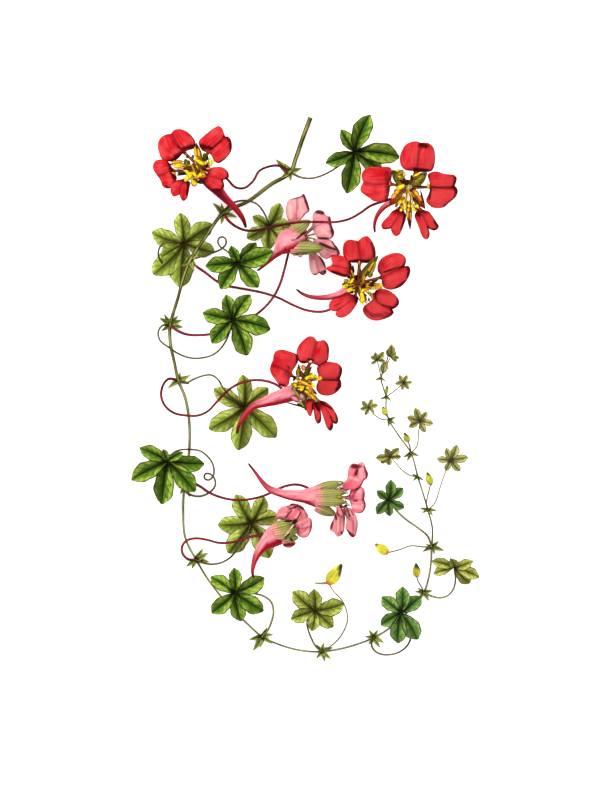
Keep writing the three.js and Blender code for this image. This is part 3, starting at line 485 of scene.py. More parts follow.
finish_all(calyx_finish, {
    "calyx_pink": ((236, 156, 166), (220, 108, 126), (150, 6, 32), 0),
    "calyx_crimson": ((236, 104, 124), (206, 50, 78), (96, 0, 16), 0.8),
})
finish_all(sepal_finish, {
    "sepal_gold": ((232, 186, 36), (212, 140, 34), (84, 36, 10), (78, 28, 6)),
    "sepal_lime": ((214, 180, 50), (186, 172, 62), (120, 110, 36), (60, 54, 12)),
    "sepal_flame": ((250, 214, 22), (240, 166, 40), (206, 50, 26), (110, 20, 8)),
    "sepal_olive": ((230, 150, 146), (158, 160, 88), (108, 122, 50), (74, 62, 30)),
})

# %% [markdown]
# ### Stamens, ovary and buds
# The stamens are yellow, and pollen makes their anthers rough. The ovary in the middle is cream. A bud is
# yellow with an orange foot and a dark green tip, and fine seams show where its sepals will part. Threads in
# the middle of a flower are only a few pixels wide from afar, so a plain pollen finish in a dozen colours
# serves them all, with painted brown shade down their flanks that keeps each one apart from the next.

# %% Finish the stamens, the ovary and the buds
POLLEN_SHADE = rgb(70, 34, 8)


def pollen_finish(name, light, dark, grain):
    """Grainy anthers and threads, with painted brown shade where they turn away from above."""
    finish = Finish(name, 0.7, Specular_IOR_Level=0.1)
    dust = finish.speckle(grain, 4)
    colour = finish.blend(finish.fade(dust, 0.3, 0.7), dark, light)
    # Painted shade in brown down the flanks, which turn away from above.
    rim = finish.fade(finish.facing(UP) + (dust - 0.5) * 0.5, 0.75, 0.4)
    finish.colour(finish.blend(rim * 0.8, colour, POLLEN_SHADE))
    finish.relief(dust, 0.15 * MM, 0.8)
    return finish.material


def bud_finish(name, light, middle, foot, tip):
    """Buds: two colours in patches, one for the foot, and one for the tip and the seams."""
    finish = Finish(name, 0.45, Specular_IOR_Level=0.3)
    along, around = finish.map()
    patches = finish.speckle(260, 3)
    seam = finish.fade(abs((around * 5 + 0.25).wave()), 0.2, 0.02)
    colour = finish.blend(finish.fade(patches, 0.35, 0.65), light, middle)
    colour = finish.blend(finish.fade(along + (patches - 0.5) * 0.3, 0.3, 0.04), colour, foot)
    # Painted shade: on the side away from the window, the dark tip colour reaches further towards the foot.
    away = finish.facing(SHADE_SIDE) * 0.22
    colour = finish.blend(finish.fade(along + (patches - 0.5) * 0.4 + away, 0.58, 0.82), colour, tip)
    finish.colour(finish.blend(seam * 0.6, colour, tip))
    finish.relief(patches * 0.3 - seam, 0.2 * MM, 0.6)
    return finish.material


finish_all(pollen_finish, {
    "anther_yellow": ((250, 230, 40), (214, 170, 14), 700),
    "anther_cream": ((236, 222, 190), (190, 160, 130), 500),
    "filament_gold": ((240, 190, 50), (168, 96, 20), 400),
    "filament_brown": ((120, 60, 18), (56, 18, 6), 400),
    "throat_dark": ((52, 16, 10), (20, 2, 4), 400),
    "heart_green": ((104, 126, 40), (40, 58, 10), 500),
    "heart_olive": ((170, 156, 44), (104, 92, 16), 500),
    "heart_lime": ((232, 232, 80), (176, 172, 30), 500),
    "heart_flame": ((246, 160, 80), (196, 78, 24), 400),
    "heart_rose": ((232, 140, 154), (190, 84, 104), 400),
    "heart_mauve": ((186, 140, 150), (104, 60, 72), 400),
    "heart_red": ((210, 50, 30), (120, 10, 10), 400),
    "ovary_cream": ((248, 240, 206), (210, 200, 130), 500),
})
finish_all(bud_finish, {
    "bud_yellow": ((248, 236, 56), (182, 178, 36), (186, 96, 40), (36, 46, 12)),
    "bud_olive": ((220, 206, 50), (160, 146, 34), (110, 92, 34), (50, 58, 14)),
    "bud_green": ((200, 202, 60), (140, 148, 40), (110, 104, 44), (44, 52, 16)),
})

# %% [markdown]
# ## Working by hand, in code
# Blender's operators act on whatever is selected and active, as they do in the viewport. These small helpers
# keep the selection clean, apply modifiers at once, and join what belongs together. Writing meshes directly
# would need fewer calls, but operators are what the menus offer too, so each step can be repeated by hand.

# %% Helpers for selection, modifiers and joining
SHARPEST_SMOOTH = math.radians(50)


def clear_selection():
    if bpy.context.object and bpy.context.object.mode != "OBJECT":
        bpy.ops.object.mode_set(mode="OBJECT")
    bpy.ops.object.select_all(action="DESELECT")


def pick(*pieces):
    """Only these pieces are selected, and the last one is active."""
    clear_selection()
    for piece in pieces:
        piece.select_set(True)
    bpy.context.view_layer.objects.active = pieces[-1]


def modify(piece, kind, **settings):
    """Adds a modifier and applies it at once."""
    pick(piece)
    modifier = piece.modifiers.new(kind.lower(), kind)
    for setting, value in settings.items():
        setattr(modifier, setting, value)
    bpy.ops.object.modifier_apply(modifier=modifier.name)


def twin(piece):
    """A copy with its own mesh."""
    pick(piece)
    bpy.ops.object.duplicate(linked=False)
    return bpy.context.object


def dress(piece, skin):
    """The piece takes the material of that name, and no other."""
    piece.data.materials.clear()
    piece.data.materials.append(skins[skin])
    return piece


def joined(name, pieces):
    """All the pieces as one, smooth shaded, with the seams between its parts left sharp."""
    pick(*pieces)
    if len(pieces) > 1:
        bpy.ops.object.join()
    whole = bpy.context.object
    whole.name = whole.data.name = name
    bpy.ops.object.shade_smooth_by_angle(angle=SHARPEST_SMOOTH)
    return whole


def put_on_stem(piece, node):
    """The piece stands for a solid of the frame, which it hides if there is one, and moves with the plant."""
    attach(piece, "root")
    if node:
        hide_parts(node)


def lay_on_table(piece):
    """Whatever would sink into the table is flattened against it."""
    for corner in piece.data.vertices:
        corner.co.z = max(corner.co.z, 0)


# %% [markdown]
# ## Stalks
# Stems, stalks, spurs, filaments and buds are all round things along a line. The tool for that is a curve
# with a round bevel: the line is drawn, each of its points is given a radius, and the curve is turned into a
# mesh. The line is made smooth first, in the way that a bent wire is: it passes through every point of the
# plan.

# %% Draw a smooth line and grow a tube along it
STALK_STEP = 0.8 * MM
DOTS_A_STRETCH = 12


def flowing(points, step):
    """Places `step` apart on the smooth line through all the points."""
    ends = [2 * points[0] - points[1], *points, 2 * points[-1] - points[-2]]
    dense = []
    for before, near, far, after in zip(ends, ends[1:], ends[2:], ends[3:]):
        a, b, c = (math.sqrt((q - p).length) for p, q in ((before, near), (near, far), (far, after)))
        leaving = ((near - before) / a - (far - before) / (a + b) + (far - near) / b) * b
        arriving = ((far - near) / b - (after - near) / (b + c) + (after - far) / c) * b
        for t in (k / DOTS_A_STRETCH for k in range(DOTS_A_STRETCH)):
            start_share = 2 * t**3 - 3 * t**2 + 1
            dense.append(
                near * start_share
                + far * (1 - start_share)
                + leaving * (t**3 - 2 * t**2 + t)
                + arriving * (t**3 - t**2)
            )
    dense.append(points[-1])
    return evenly(dense, step)


def evenly(dense, step):
    """The same line with its points spaced evenly."""
    lengths = [0]
    for p, q in zip(dense, dense[1:]):
        lengths.append(lengths[-1] + (q - p).length)
    count = max(2, round(lengths[-1] / step))
    line, k = [], 0
    for target in (lengths[-1] * n / count for n in range(count + 1)):
        while k < len(dense) - 2 and lengths[k + 1] < target:
            k += 1
        share = (target - lengths[k]) / (lengths[k + 1] - lengths[k])
        line.append(dense[k].lerp(dense[k + 1], min(share, 1)))
    return line


def along_list(values, share):
    """The value at share, 0 to 1, of an evenly spaced list."""
    spot = min(max(share, 0), 1) * (len(values) - 1)
    low = min(int(spot), len(values) - 2)
    return values[low] + (values[low + 1] - values[low]) * (spot - low)


def grow_tube(name, line, radii, sides, skin, round_end=True):
    """A tube along a line. Its radius in metres follows the list, and its far end is rounded off."""
    clear_selection()
    bpy.ops.curve.primitive_bezier_curve_add()
    curve = bpy.context.object.data
    curve.splines.clear()
    spline = curve.splines.new("POLY")
    spline.points.add(len(line) - 1)
    spacing = (line[1] - line[0]).length
    for k, (dot, spot) in enumerate(zip(spline.points, line)):
        radius = along_list(radii, k / (len(line) - 1))
        left = (len(line) - 1 - k) * spacing / radius
        if round_end and left < 1:
            radius *= math.sqrt(max(1 - (1 - left) ** 2, 0.04))
        dot.co = (*spot, 1)
        dot.radius = radius
    curve.bevel_depth = 1  # so that a point's radius is in metres
    curve.bevel_resolution = (sides - 4) // 2
    curve.use_fill_caps = True
    bpy.ops.object.convert(target="MESH")
    piece = bpy.context.object
    piece.name = name
    bpy.ops.object.mode_set(mode="EDIT")
    bpy.ops.mesh.select_all(action="SELECT")
    bpy.ops.mesh.remove_doubles(threshold=1e-6)
    bpy.ops.mesh.normals_make_consistent(inside=False)
    bpy.ops.object.mode_set(mode="OBJECT")
    return dress(piece, skin)


# %% [markdown]
# ## Blades
# Leaflets, petals, sepals and stipules are thin blades. Each kind is modelled once, flat and one unit long:
# a grid is added and its rows are drawn in or out to the outline, then subdivision rounds it. A plane with
# an image of a leaf would be lighter, but it has no thickness and no fold. The relief comes last: a rule
# moves each point by its place across and along the blade. Then the blade gets its thickness.

# %% Cut a blade to its outline
def cut_blade(name, outline, columns, rule, thickness):
    """outline lists shares of the length with half widths. rule(off, along) gives a height."""
    clear_selection()
    steps = len(outline) - 1
    bpy.ops.mesh.primitive_grid_add(
        x_subdivisions=columns, y_subdivisions=steps, location=(0, 0.5, 0), size=1
    )
    bpy.ops.object.transform_apply()
    piece = bpy.context.object
    piece.name = name
    bpy.ops.object.mode_set(mode="EDIT")
    mesh = bmesh.from_edit_mesh(piece.data)
    rows = [[corner for corner in mesh.verts if round(corner.co.y * steps) == k] for k in range(steps + 1)]
    for k, (row, (share, half)) in enumerate(zip(rows, outline)):
        bpy.ops.mesh.select_all(action="DESELECT")
        for corner in row:
            corner.select = True
        bpy.ops.transform.resize(value=(2 * half, 1, 1), center_override=(0, k / steps, 0))
        bpy.ops.transform.translate(value=(0, share - k / steps, 0))
    bpy.ops.object.mode_set(mode="OBJECT")
    modify(piece, "SUBSURF", levels=1, render_levels=1)
    for corner, (across, along) in zip(piece.data.vertices, map_of(piece)):
        corner.co.z += rule(2 * across - 1, along)
    modify(piece, "SOLIDIFY", thickness=thickness, offset=0)
    return piece


def map_of(piece):
    """For each corner of a mesh, its place on the UV map."""
    spots = [None] * len(piece.data.vertices)
    layer = piece.data.uv_layers.active.data
    for loop in piece.data.loops:
        spots[loop.vertex_index] = tuple(layer[loop.index].uv)
    return spots


def reshaped(master, move):
    """A copy of a blade, each corner of which is moved to where the function says."""
    piece = twin(master)
    for corner in piece.data.vertices:
        corner.co = move(corner.co)
    return piece


def put_away(*masters):
    """The pattern pieces are deleted once their copies are laid."""
    for master in masters:
        bpy.data.objects.remove(master)


# %% [markdown]
# ## Leaves
# Each leaf is a hand of five to seven leaflets. They join at a hub on top of a thin stalk that twists like a
# tendril. A leaflet is folded along its midrib, arches from hub to tip, and puckers between its side veins.
# Three patterns of each kind are cut with different ripples, so that no two neighbours are alike. Leaves
# that lie with their back up are folded the other way.

# %% Cut the leaflets
LEAFLET = [
    (0, 0.034), (0.07, 0.05), (0.18, 0.115), (0.32, 0.18), (0.47, 0.222), (0.62, 0.238), (0.75, 0.22),
    (0.86, 0.168), (0.95, 0.088), (1, 0.02),
]
# All in shares of a leaflet's length.
ARCH = 0.07
FOLD = 0.1
MIDRIB_SINK = 0.012
PUCKER = 0.007
MARGIN_RIPPLE = 0.02


def leaflet_rule(seed, fold):
    """The relief of a leaflet: arch, fold, puckers between the veins and a rippled margin."""
    turn = seed * 2.1

    def rule(off, along):
        width = math.sin(math.pi * min(max(along, 0), 1)) ** 0.7
        height = ARCH * 4 * along * (1 - along) + fold * abs(off) * width
        height -= math.copysign(MIDRIB_SINK, fold) * math.exp(-((off / 0.14) ** 2)) * width
        height += PUCKER * math.sin(math.tau * (6.5 * along - 1.5 * abs(off))) * abs(off) * width
        return height + MARGIN_RIPPLE * math.sin(math.tau * 1.4 * along + turn) * off * abs(off) * width

    return rule


def cut_three(name, outline, columns, fold, thickness):
    """Three patterns with the same outline and different ripples."""
    return [cut_blade(f"{name}_{k}", outline, columns, leaflet_rule(k, fold), thickness) for k in range(3)]


leaflets = cut_three("leaflet", LEAFLET, 8, FOLD, 0.026)
leaflet_backs = cut_three("leaflet_back", LEAFLET, 8, -FOLD, 0.026)
young_leaflets = cut_three("young", [*LEAFLET[::2], LEAFLET[-1]], 4, FOLD, 0.05)
print("triangles in one leaflet:", sum(len(face.vertices) - 2 for face in leaflets[0].data.polygons))

# %% The plan of the leaves: the way of each stalk, the hub and the tips of the leaflets
LEAVES = {
    "leaf_01": {
        "node": "n1", "way": [(301, 177, 2.2), (312, 178, 3.4), (325, 174, 5), (340, 165, 6.8)],
        "hub": (355, 152, 8.8),
        "tips": [(341, 130, 11), (370, 115, 12), (399, 157, 8), (382, 171, 7), (347, 193, 9), (326, 163, 10)],
    },
    "leaf_02": {
        "node": "n3",
        "way": [(180, 267, 0.7), (171, 268, 0.5), (163, 264, 1.6), (158, 254, 3.4), (161, 245, 3.8),
            (169, 241.5, 3.5), (177, 241, 2.9)],
        "hub": (184, 243, 1.5),
        "tips": [(180, 213, 1.2), (152, 232, 1.4), (212, 224, 0.8), (214, 251, 0.8), (180, 287, 0.8),
            (153, 274, 1), (161, 256, 1.2)],
    },
    "leaf_03": {
        "node": "n2",
        "way": [(228, 206, 3.4), (236, 201.5, 4.3), (247, 200.5, 4.7), (257, 204, 4.5), (263, 211, 4),
            (267, 219, 3.2)],
        "hub": (269, 226, 1.8),
        "tips": [(253, 216, 1.8), (280, 203, 1.6), (247, 238, 1.4), (268, 250, 1.2), (283, 246, 1.2),
            (291, 224, 1.4)],
    },
    "leaf_04": {
        "node": "n3",
        "way": [(202, 256, 5.5), (213, 252.5, 5.9), (221, 249, 6.1), (226, 243.5, 6.6), (225, 238, 7.2),
            (220.5, 237, 7.7), (217.8, 241, 8.2), (220, 246.5, 8.6), (226, 250.5, 9), (232, 256, 9.7)],
        "hub": (238, 263, 10.8),
        "tips": [(206, 266, 11), (221, 289, 10.5), (258, 287, 10.5), (273, 252, 14.5), (256, 243, 12),
            (231, 246, 14)],
    },
    "leaf_05": {
        "node": "n4",
        "way": [(162, 325.5, 2.4), (158, 332, 2.9), (160, 340.5, 3.2), (169, 347.5, 3.5), (179, 354, 3.7),
            (191, 358, 4), (204, 357.5, 4.6), (215, 353.5, 5.4), (224, 344, 6.4), (229, 333, 7.5)],
        "hub": (233, 320, 9),
        "tips": [(226, 295, 10), (250, 295, 10), (270, 329, 9), (247, 355, 7.5), (212, 343, 8),
            (203, 313, 9)],
    },
    "leaf_06": {
        "node": "n5",
        "way": [(186, 383, 2.2), (193, 379.5, 3), (202, 376, 3.4), (211, 375, 3.6), (218, 379.5, 3.7),
            (223, 388, 3.7), (230, 396, 3.4), (238, 402, 2.9)],
        "hub": (244, 407, 1.7),
        "tips": [(243, 375, 1.4), (214, 389, 1.6), (209, 429, 1.2), (238, 450, 1), (276, 437, 1.2),
            (268, 388, 1.4)],
    },
    "leaf_07": {
        "node": "n6",
        "way": [(189.5, 494.5, 1.5), (199, 496.5, 2), (208, 493.5, 2.5), (215, 486, 3.3), (214.5, 479, 3.6),
            (210, 474, 3.9), (205, 474, 4.4), (204.5, 478.5, 4.9), (209, 480, 5.3), (213.5, 475, 5.6),
            (213, 465, 5.8), (208, 457, 6.1), (200, 451, 6.4), (190, 449.5, 6.8), (180, 450, 7.3),
            (173, 453, 7.9)],
        "hub": (168, 461, 9),
        "tips": [(140, 448, 10), (132, 480, 9), (162, 504, 8), (195, 491, 7.5), (204, 464, 9), (163, 449, 13),
            (183, 452, 13)],
    },
    "leaf_08": {
        "node": "n7",
        "way": [(203, 563, 1.9), (212, 564.5, 2.6), (222, 562.5, 3.1), (231, 557, 3.4), (238, 548, 3.5),
            (245, 538, 3.2), (249, 530, 2.7)],
        "hub": (251, 523, 1.7),
        "tips": [(236, 495, 1.6), (264, 497, 1.6), (218, 525, 1.4), (279, 516, 1.4), (228, 553, 1.2),
            (269, 558, 1.2)],
    },
    "leaf_09": {
        "node": "n8",
        "way": [(268, 630, 2.2), (271.5, 622, 3), (273.5, 612, 3.9), (271, 602, 4.9), (263, 596, 5.9),
            (253, 593.5, 6.8), (244, 593, 7.5)],
        "hub": (235, 593, 8.6),
        "tips": [(234, 568, 9), (264, 578, 7.6), (263, 611, 7), (241, 621, 6.5), (212, 613, 7),
            (211, 577, 8.5)],
    },
    "leaf_10": {
        "node": "n9", "way": [(316, 647, 2), (312, 640, 3.2), (308.5, 631, 4.6), (307, 622, 6.2)],
        "hub": (315, 611, 8.6),
        "tips": [(293, 592, 9), (314, 589, 12), (344, 604, 9.5), (333, 627, 8), (312, 631, 9.5),
            (291, 619, 9)],
    },
    "leaf_11": {
        "node": "n10",
        "way": [(371.5, 644, 1.6), (374, 650.5, 2.2), (381, 654.5, 2.6), (390, 655, 3), (400, 652, 3.5),
            (408, 645, 4.2), (411, 636, 5), (408, 624, 6.6)],
        "hub": (401, 613, 8.6),
        "tips": [(403, 587, 9), (421, 597, 8), (418, 639, 7), (398, 643, 7), (381, 625, 8), (382, 597, 9)],
    },
    "leaf_12": {
        "node": "n11",
        "way": [(432, 596.5, 2), (441, 598, 3.2), (449, 595, 4.6), (454, 588, 6.2), (455.5, 578, 8.4)],
        "hub": (454, 567, 10.8),
        "tips": [(432, 561, 12.5), (434, 574, 9), (450, 558, 18), (473, 561, 15), (479, 577, 11),
            (470, 583, 7)],
    },
    "leaf_13": {
        "node": "n12", "way": [(427.5, 536, 2.8), (418, 528, 4.2), (406, 519.5, 5.4), (396, 510, 6.8)],
        "hub": (389, 500, 8),
        "tips": [(391, 480, 9), (403, 488, 8), (404, 508, 7), (390, 516, 7), (377, 514, 8), (377, 491, 9)],
    },
}
YOUNG_LEAVES = {
    "leaf_14": {
        "node": "n13", "way": [(435, 503, 4.8), (440, 488, 6.6), (445, 473, 8.8)], "hub": (451, 460, 10.5),
        "tips": [(446, 448, 11), (457, 445, 11), (468, 458, 10.5), (460, 471, 9.5), (446, 471, 9.5),
            (437, 459, 10.5)],
    },
    "leaf_15": {
        "node": "n14", "way": [(409, 475, 6.9), (401, 469, 7.6), (395, 462, 8.4)], "hub": (390, 456, 9.4),
        "tips": [(376, 458, 10), (381, 463, 8), (385, 448, 13), (399, 448, 12), (401, 457, 9), (389, 465, 7)],
    },
    "leaf_16": {
        "node": "n15", "way": [(417, 446, 8.6), (418.5, 433, 10.4)], "hub": (420, 421, 12.2),
        "tips": [(415, 408, 13), (427, 412, 13), (433, 424, 12), (425, 432, 11), (409, 427, 12),
            (407, 417, 13)],
    },
    "leaf_17": {
        "node": "n16", "way": [(381, 419, 10.6), (374, 414.5, 11.4)], "hub": (369, 408, 12.2),
        "tips": [(362, 401, 13), (372, 399, 13), (378, 405, 12.6), (374, 413, 12), (365, 415, 12),
            (360, 409, 12.6)],
    },
    "leaf_18": {
        "node": "n17", "way": [(393, 392, 12.6), (399, 387, 13.4)], "hub": (404, 383, 14.2),
        "tips": [(399, 375, 15), (407, 375, 15), (412, 382, 14.6), (409, 389, 14), (402, 390, 14),
            (395, 384, 14.6)],
    },
}
print("leaves drawn:", len(LEAVES), "grown and", len(YOUNG_LEAVES), "young")

# %% Lay the leaflets round their hubs
PETIOLE_RADII = [0.42 * MM, 0.36 * MM]
YOUNG_STALK_RADII = [0.26 * MM, 0.22 * MM]
NECK_REACH = 1.5 * MM
NECK_DROP = 1.1 * MM
TURNED_OVER = {"leaf_02", "leaf_03", "leaf_06", "leaf_08"}
LEAF_SKINS = {
    "leaf_10": "leaf_olive", "leaf_11": "leaf_blue_green", "leaf_12": "leaf_pale",
    "leaf_13": "leaf_blue_green",
}
DARK_STALKED = {f"leaf_{k:02}" for k in (1, 2, 3, 4, 5, 6, 7, 8, 11)}
USUAL_BREADTH = 1.13
YOUNG_BREADTH = 1.15
BREADTHS = {
    "leaf_01": 1, "leaf_06": 1, "leaf_07": 1, "leaf_10": 1.25, "leaf_11": 1.22, "leaf_12": 1, "leaf_13": 1.15,
}
SWAY = 0.05
TWIST = 0.22
WAVINESS = 0.05
chance = random.Random(7)


def lay_leaflet(master, hub, tip, broad=1):
    """A leaflet from the hub to its tip, with a wavy margin and a slight sway and twist of its own."""
    axis = tip - hub
    length = axis.length
    heading = axis.normalized()
    across = heading.cross(UP).normalized()
    normal = across.cross(heading)
    sway = chance.uniform(-SWAY, SWAY)
    twist = chance.uniform(-TWIST, TWIST)
    start = chance.uniform(0, math.tau)

    def move(corner):
        wave = 1 + WAVINESS * math.sin(19 * corner.y + start + 3 * (corner.x > 0))
        bent = corner.x * broad * wave + sway * corner.y * (1 - corner.y) * 4
        turn = twist * corner.y
        rise = corner.z * math.cos(turn) + corner.x * math.sin(turn)
        side = bent * math.cos(turn) - corner.z * math.sin(turn)
        return hub + (across * side + heading * corner.y + normal * rise) * length

    return reshaped(master, move)


def grow_leaf(name, plan, start, masters, blade, radii, broad):
    """The leaflets with the stalk that carries them, which comes up over the blade of a turned leaf."""
    hub = place(plan["hub"])
    route = [place(start), *map(place, plan["way"])]
    neck = route[-1] - hub
    neck.z = 0
    neck = neck.normalized() * NECK_REACH + hub
    neck.z += NECK_DROP if name in TURNED_OVER else -NECK_DROP
    skin = "leaf_stalk" if name in DARK_STALKED else "bud_stalk"
    parts = [grow_tube(name + "_stalk", flowing([*route, neck, hub], STALK_STEP), radii, 8, skin)]
    for k, tip in enumerate(plan["tips"]):
        parts.append(dress(lay_leaflet(masters[k % len(masters)], hub, place(tip), broad), blade))
    return parts


def grow_young_leaf(name, plan, start):
    """A small leaf of the growing end, on a thin pale stalk."""
    return grow_leaf(name, plan, start, young_leaflets, "leaf_young", YOUNG_STALK_RADII, YOUNG_BREADTH)


for name, plan in LEAVES.items():
    turned_over = name in TURNED_OVER
    masters = leaflet_backs if turned_over else leaflets
    blade = "leaf_back" if turned_over else LEAF_SKINS.get(name, "leaf_green")
    broad = BREADTHS.get(name, USUAL_BREADTH)
    parts = grow_leaf(name, plan, NODES[plan["node"]], masters, blade, PETIOLE_RADII, broad)
    whole = joined(name + "_blades", parts)
    lay_on_table(whole)
    put_on_stem(whole, name)
for name, plan in YOUNG_LEAVES.items():
    whole = joined(name + "_blades", grow_young_leaf(name, plan, NODES[plan["node"]]))
    put_on_stem(whole, name)
print("leaves laid:", len(LEAVES) + len(YOUNG_LEAVES))

# %% [markdown]
# ## The stem
# The stem is one long tube that thins from the cut end to the tip and swells a little at every node. It
# rests on the table over most of its length, so its underside is flattened there. Round each node stand the
# stipules, small pointed lobes, and at the tip the last leaves are still folded together.

# %% The plan of the stem, of its tip, and of the tips of its stipules
STEM_ROUTE = [
    (310.5, 117, 0.85), (303, 137, 0.85), (296, 157, 0.82), NODES["n1"], (271, 184, 0.8), (248, 201, 0.85),
    NODES["n2"], (206, 236, 4), NODES["n3"], (183, 278, 4.2), (178, 297, 2.4), NODES["n4"], (170, 342, 0.66),
    (174, 362, 0.65), NODES["n5"], (185, 398, 0.63), (189, 422, 0.62), (189, 450, 0.61), NODES["n6"],
    (183, 512, 0.59), (185, 538, 0.58), NODES["n7"], (208, 580, 0.55), (227, 604, 0.54), (246, 623, 0.53),
    NODES["n8"], (282, 646, 0.51), (302, 651, 0.5), NODES["n9"], (346, 648, 0.49), NODES["n10"],
    (393, 626, 0.48), (410, 610, 0.47), NODES["n11"], (430, 572, 0.6), NODES["n12"], (432.5, 528, 2),
    NODES["n13"], (423, 493, 4.8), NODES["n14"], NODES["n15"], (399, 436, 8.8), NODES["n16"],
    (386, 408, 10.8), NODES["n17"], (383, 387, 12.8), NODES["n18"], (385, 366, 15.2), (390, 350, 17.6),
]
TIP_LEAVES = [
    {
        "from": NODES["n18"], "way": [(379, 368, 15.2)], "hub": (377, 360, 16.6),
        "tips": [(370, 357, 18), (375, 352, 19), (384, 352, 18.5), (385, 361, 17), (371, 364, 16.6)],
    },
    {
        "from": (385, 366, 15.2), "way": [(388, 362, 16.4)], "hub": (390.5, 357, 17.4),
        "tips": [(391.4, 344.5, 21), (386.5, 349.5, 19.5), (396, 352.5, 19.6), (399, 358, 18),
            (396.5, 361.5, 17)],
    },
    {
        "from": NODES["n18"], "way": [], "hub": (382.6, 373.4, 14.6),
        "tips": [(386.6, 361, 18), (384.4, 362, 17.6)],
    },
]
STIPULES = {
    "n1": [(276, 159), (285, 163), (302, 168), (291, 181), (280, 178)],
    "n2": [(213, 203), (221, 203), (216, 220), (221, 224), (237, 217), (232, 205)],
    "n3": [(197, 268), (194, 271), (181, 266), (199, 250)],
    "n4": [(159, 318), (164, 314), (178, 316), (182, 320), (183, 327), (161, 331)],
    "n5": [(180, 372), (190, 375), (189, 384), (168, 388), (184, 377)],
    "n6": [(178, 487), (180, 494), (190, 497), (187, 478)],
    "n7": [(208, 553), (209, 562), (192, 569), (186, 567), (203, 549)],
    "n8": [(267, 628), (273, 635), (249, 640), (253, 651), (260, 648), (272, 644)],
    "n9": [(316, 645), (324, 643), (333, 648), (331, 659), (325, 662), (316, 659)],
    "n10": [(369, 630), (378, 630), (365, 637), (384, 643), (380, 648), (368, 645)],
    "n11": [(418, 588), (415, 592), (433, 591), (429, 601), (419, 600)],
    "n12": [(426, 544), (439, 541), (444, 551), (423, 552), (435, 554)],
    "n13": [(420, 508), (437, 511), (422, 513), (433, 516)],
    "n14": [(412, 474), (424, 480), (413, 481)],
    "n15": [(403, 457), (407, 461), (419, 456)],
    "n16": [(396, 417), (388, 427), (395, 424)],
    "n17": [(380, 399), (391, 401)],
    "n18": [(375, 380), (386, 381)],
}
print("points of the stem:", len(STEM_ROUTE), "stipules:", sum(map(len, STIPULES.values())))

# %% Grow the stem
STEM_RADII = [0.92, 0.74, 0.68, 0.58, 0.46, 0.38, 0.35, 0.35, 0.34, 0.32, 0.26]
STIPULE = [(0, 0.16), (0.2, 0.21), (0.45, 0.17), (0.75, 0.1), (1, 0.02)]
STIPULE_FOLD = 0.12
NODE_SWELL = 0.35
NODE_REACH = 1.3 * MM

stem_line = flowing([place(spot) for spot in STEM_ROUTE], STALK_STEP)
node_places = [place(spot) for spot in NODES.values()]


def swelling(spot):
    """How much thicker the stem is next to a node."""
    nearest = min((spot - node).length for node in node_places)
    return 1 + NODE_SWELL * math.exp(-((nearest / NODE_REACH) ** 2))


stem_radii = [
    along_list(STEM_RADII, k / (len(stem_line) - 1)) * MM * swelling(spot) for k, spot in enumerate(stem_line)
]
stem = grow_tube("stem", stem_line, stem_radii, 12, "stem_green", round_end=False)
lay_on_table(stem)

stipule = cut_blade("stipule", STIPULE, 4, lambda off, along: STIPULE_FOLD * abs(off) * (1 - along), 0.06)
lobes = []
for name, tips in STIPULES.items():
    middle = place(NODES[name])
    for across, down in tips:
        tip = place((across, down, NODES[name][2] + chance.uniform(0.5, 1.6)))
        lobes.append(dress(lay_leaflet(stipule, middle, tip), "stipule_green"))
tip_parts = []
for plan in TIP_LEAVES:
    tip_parts += grow_young_leaf("tip", plan, plan["from"])
main_stem = joined("vine", [stem, *lobes, *tip_parts])
lay_on_table(main_stem)
put_on_stem(main_stem, "main_stem")
put_away(*leaflets, *leaflet_backs, *young_leaflets, stipule)
print("stem length in mm:", round(sum((q - p).length for p, q in zip(stem_line, stem_line[1:])) / MM))

# %% [markdown]
# ## Buds
# A bud is a small pointed egg on a thread. A squashed sphere would do from afar, but the real one is fullest
# near its foot and drawn out at its tip, so it is grown as a tube whose radius follows that swell. Five
# furrows are pressed in where the sepals meet.

# %% The plan of the buds
BUDS = {
    "bud_1": {
        "node": "n9",
        "way": [(330, 647, 2), (338, 640, 3), (344, 631, 4), (347.5, 620, 5), (346, 609, 6), (341, 599, 7),
            (334, 592, 8)],
        "base": (328, 584, 8.8), "tip": (342, 564, 11.5), "half_width": 2.7,
        "spur": [(321, 583.5, 8.6), (314, 583, 8.4)],
    },
    "bud_2": {
        "node": "n12", "way": [(422, 547, 2.8), (411, 546, 4), (399, 550, 5)], "base": (388, 553.5, 6),
        "tip": (375, 544, 7.4), "half_width": 2,
    },
    "bud_3": {
        "node": "n11", "way": [(421.5, 587, 2.6), (418, 581, 4.2)], "base": (417, 577, 5.4),
        "tip": (416, 563, 8), "half_width": 1.7,
    },
    "bud_4": {
        "node": "n13", "way": [(426.5, 503, 5.6), (428.5, 493, 7.4)], "base": (431, 485, 9),
        "tip": (427, 472, 11), "half_width": 1.5,
    },
    "bud_5": {
        "node": "n15", "way": [(409.8, 446.5, 9.8)], "base": (408.5, 442, 11), "tip": (404, 432.5, 12.6),
        "half_width": 1.35,
    },
    "bud_6": {
        "node": "n16", "way": [(387.5, 417, 11.4)], "base": (386, 415, 12.2), "tip": (382.5, 406.5, 13.6),
        "half_width": 1.3,
    },
}
TIP_BUD = {
    "from": NODES["n17"],
    "way": [],
    "base": (386.5, 393, 13.4),
    "tip": (387, 385.5, 15.6),
    "half_width": 0.8,
}
print("buds drawn:", len(BUDS) + 1)

# %% Grow the buds
BUD_SWELL = [0.4, 0.82, 1, 1, 0.88, 0.66, 0.42, 0.22]
BUD_STALK_RADII = [0.3 * MM, 0.26 * MM]
BUD_SPUR_RADII = [0.62 * MM, 0.42 * MM, 0.26 * MM]
BUD_SKINS = {"bud_1": "bud_yellow", "bud_2": "bud_yellow", "bud_3": "bud_olive"}
FURROW_DEPTH = 0.09  # in shares of the bud's radius
FURROW_WIDTH = 0.3


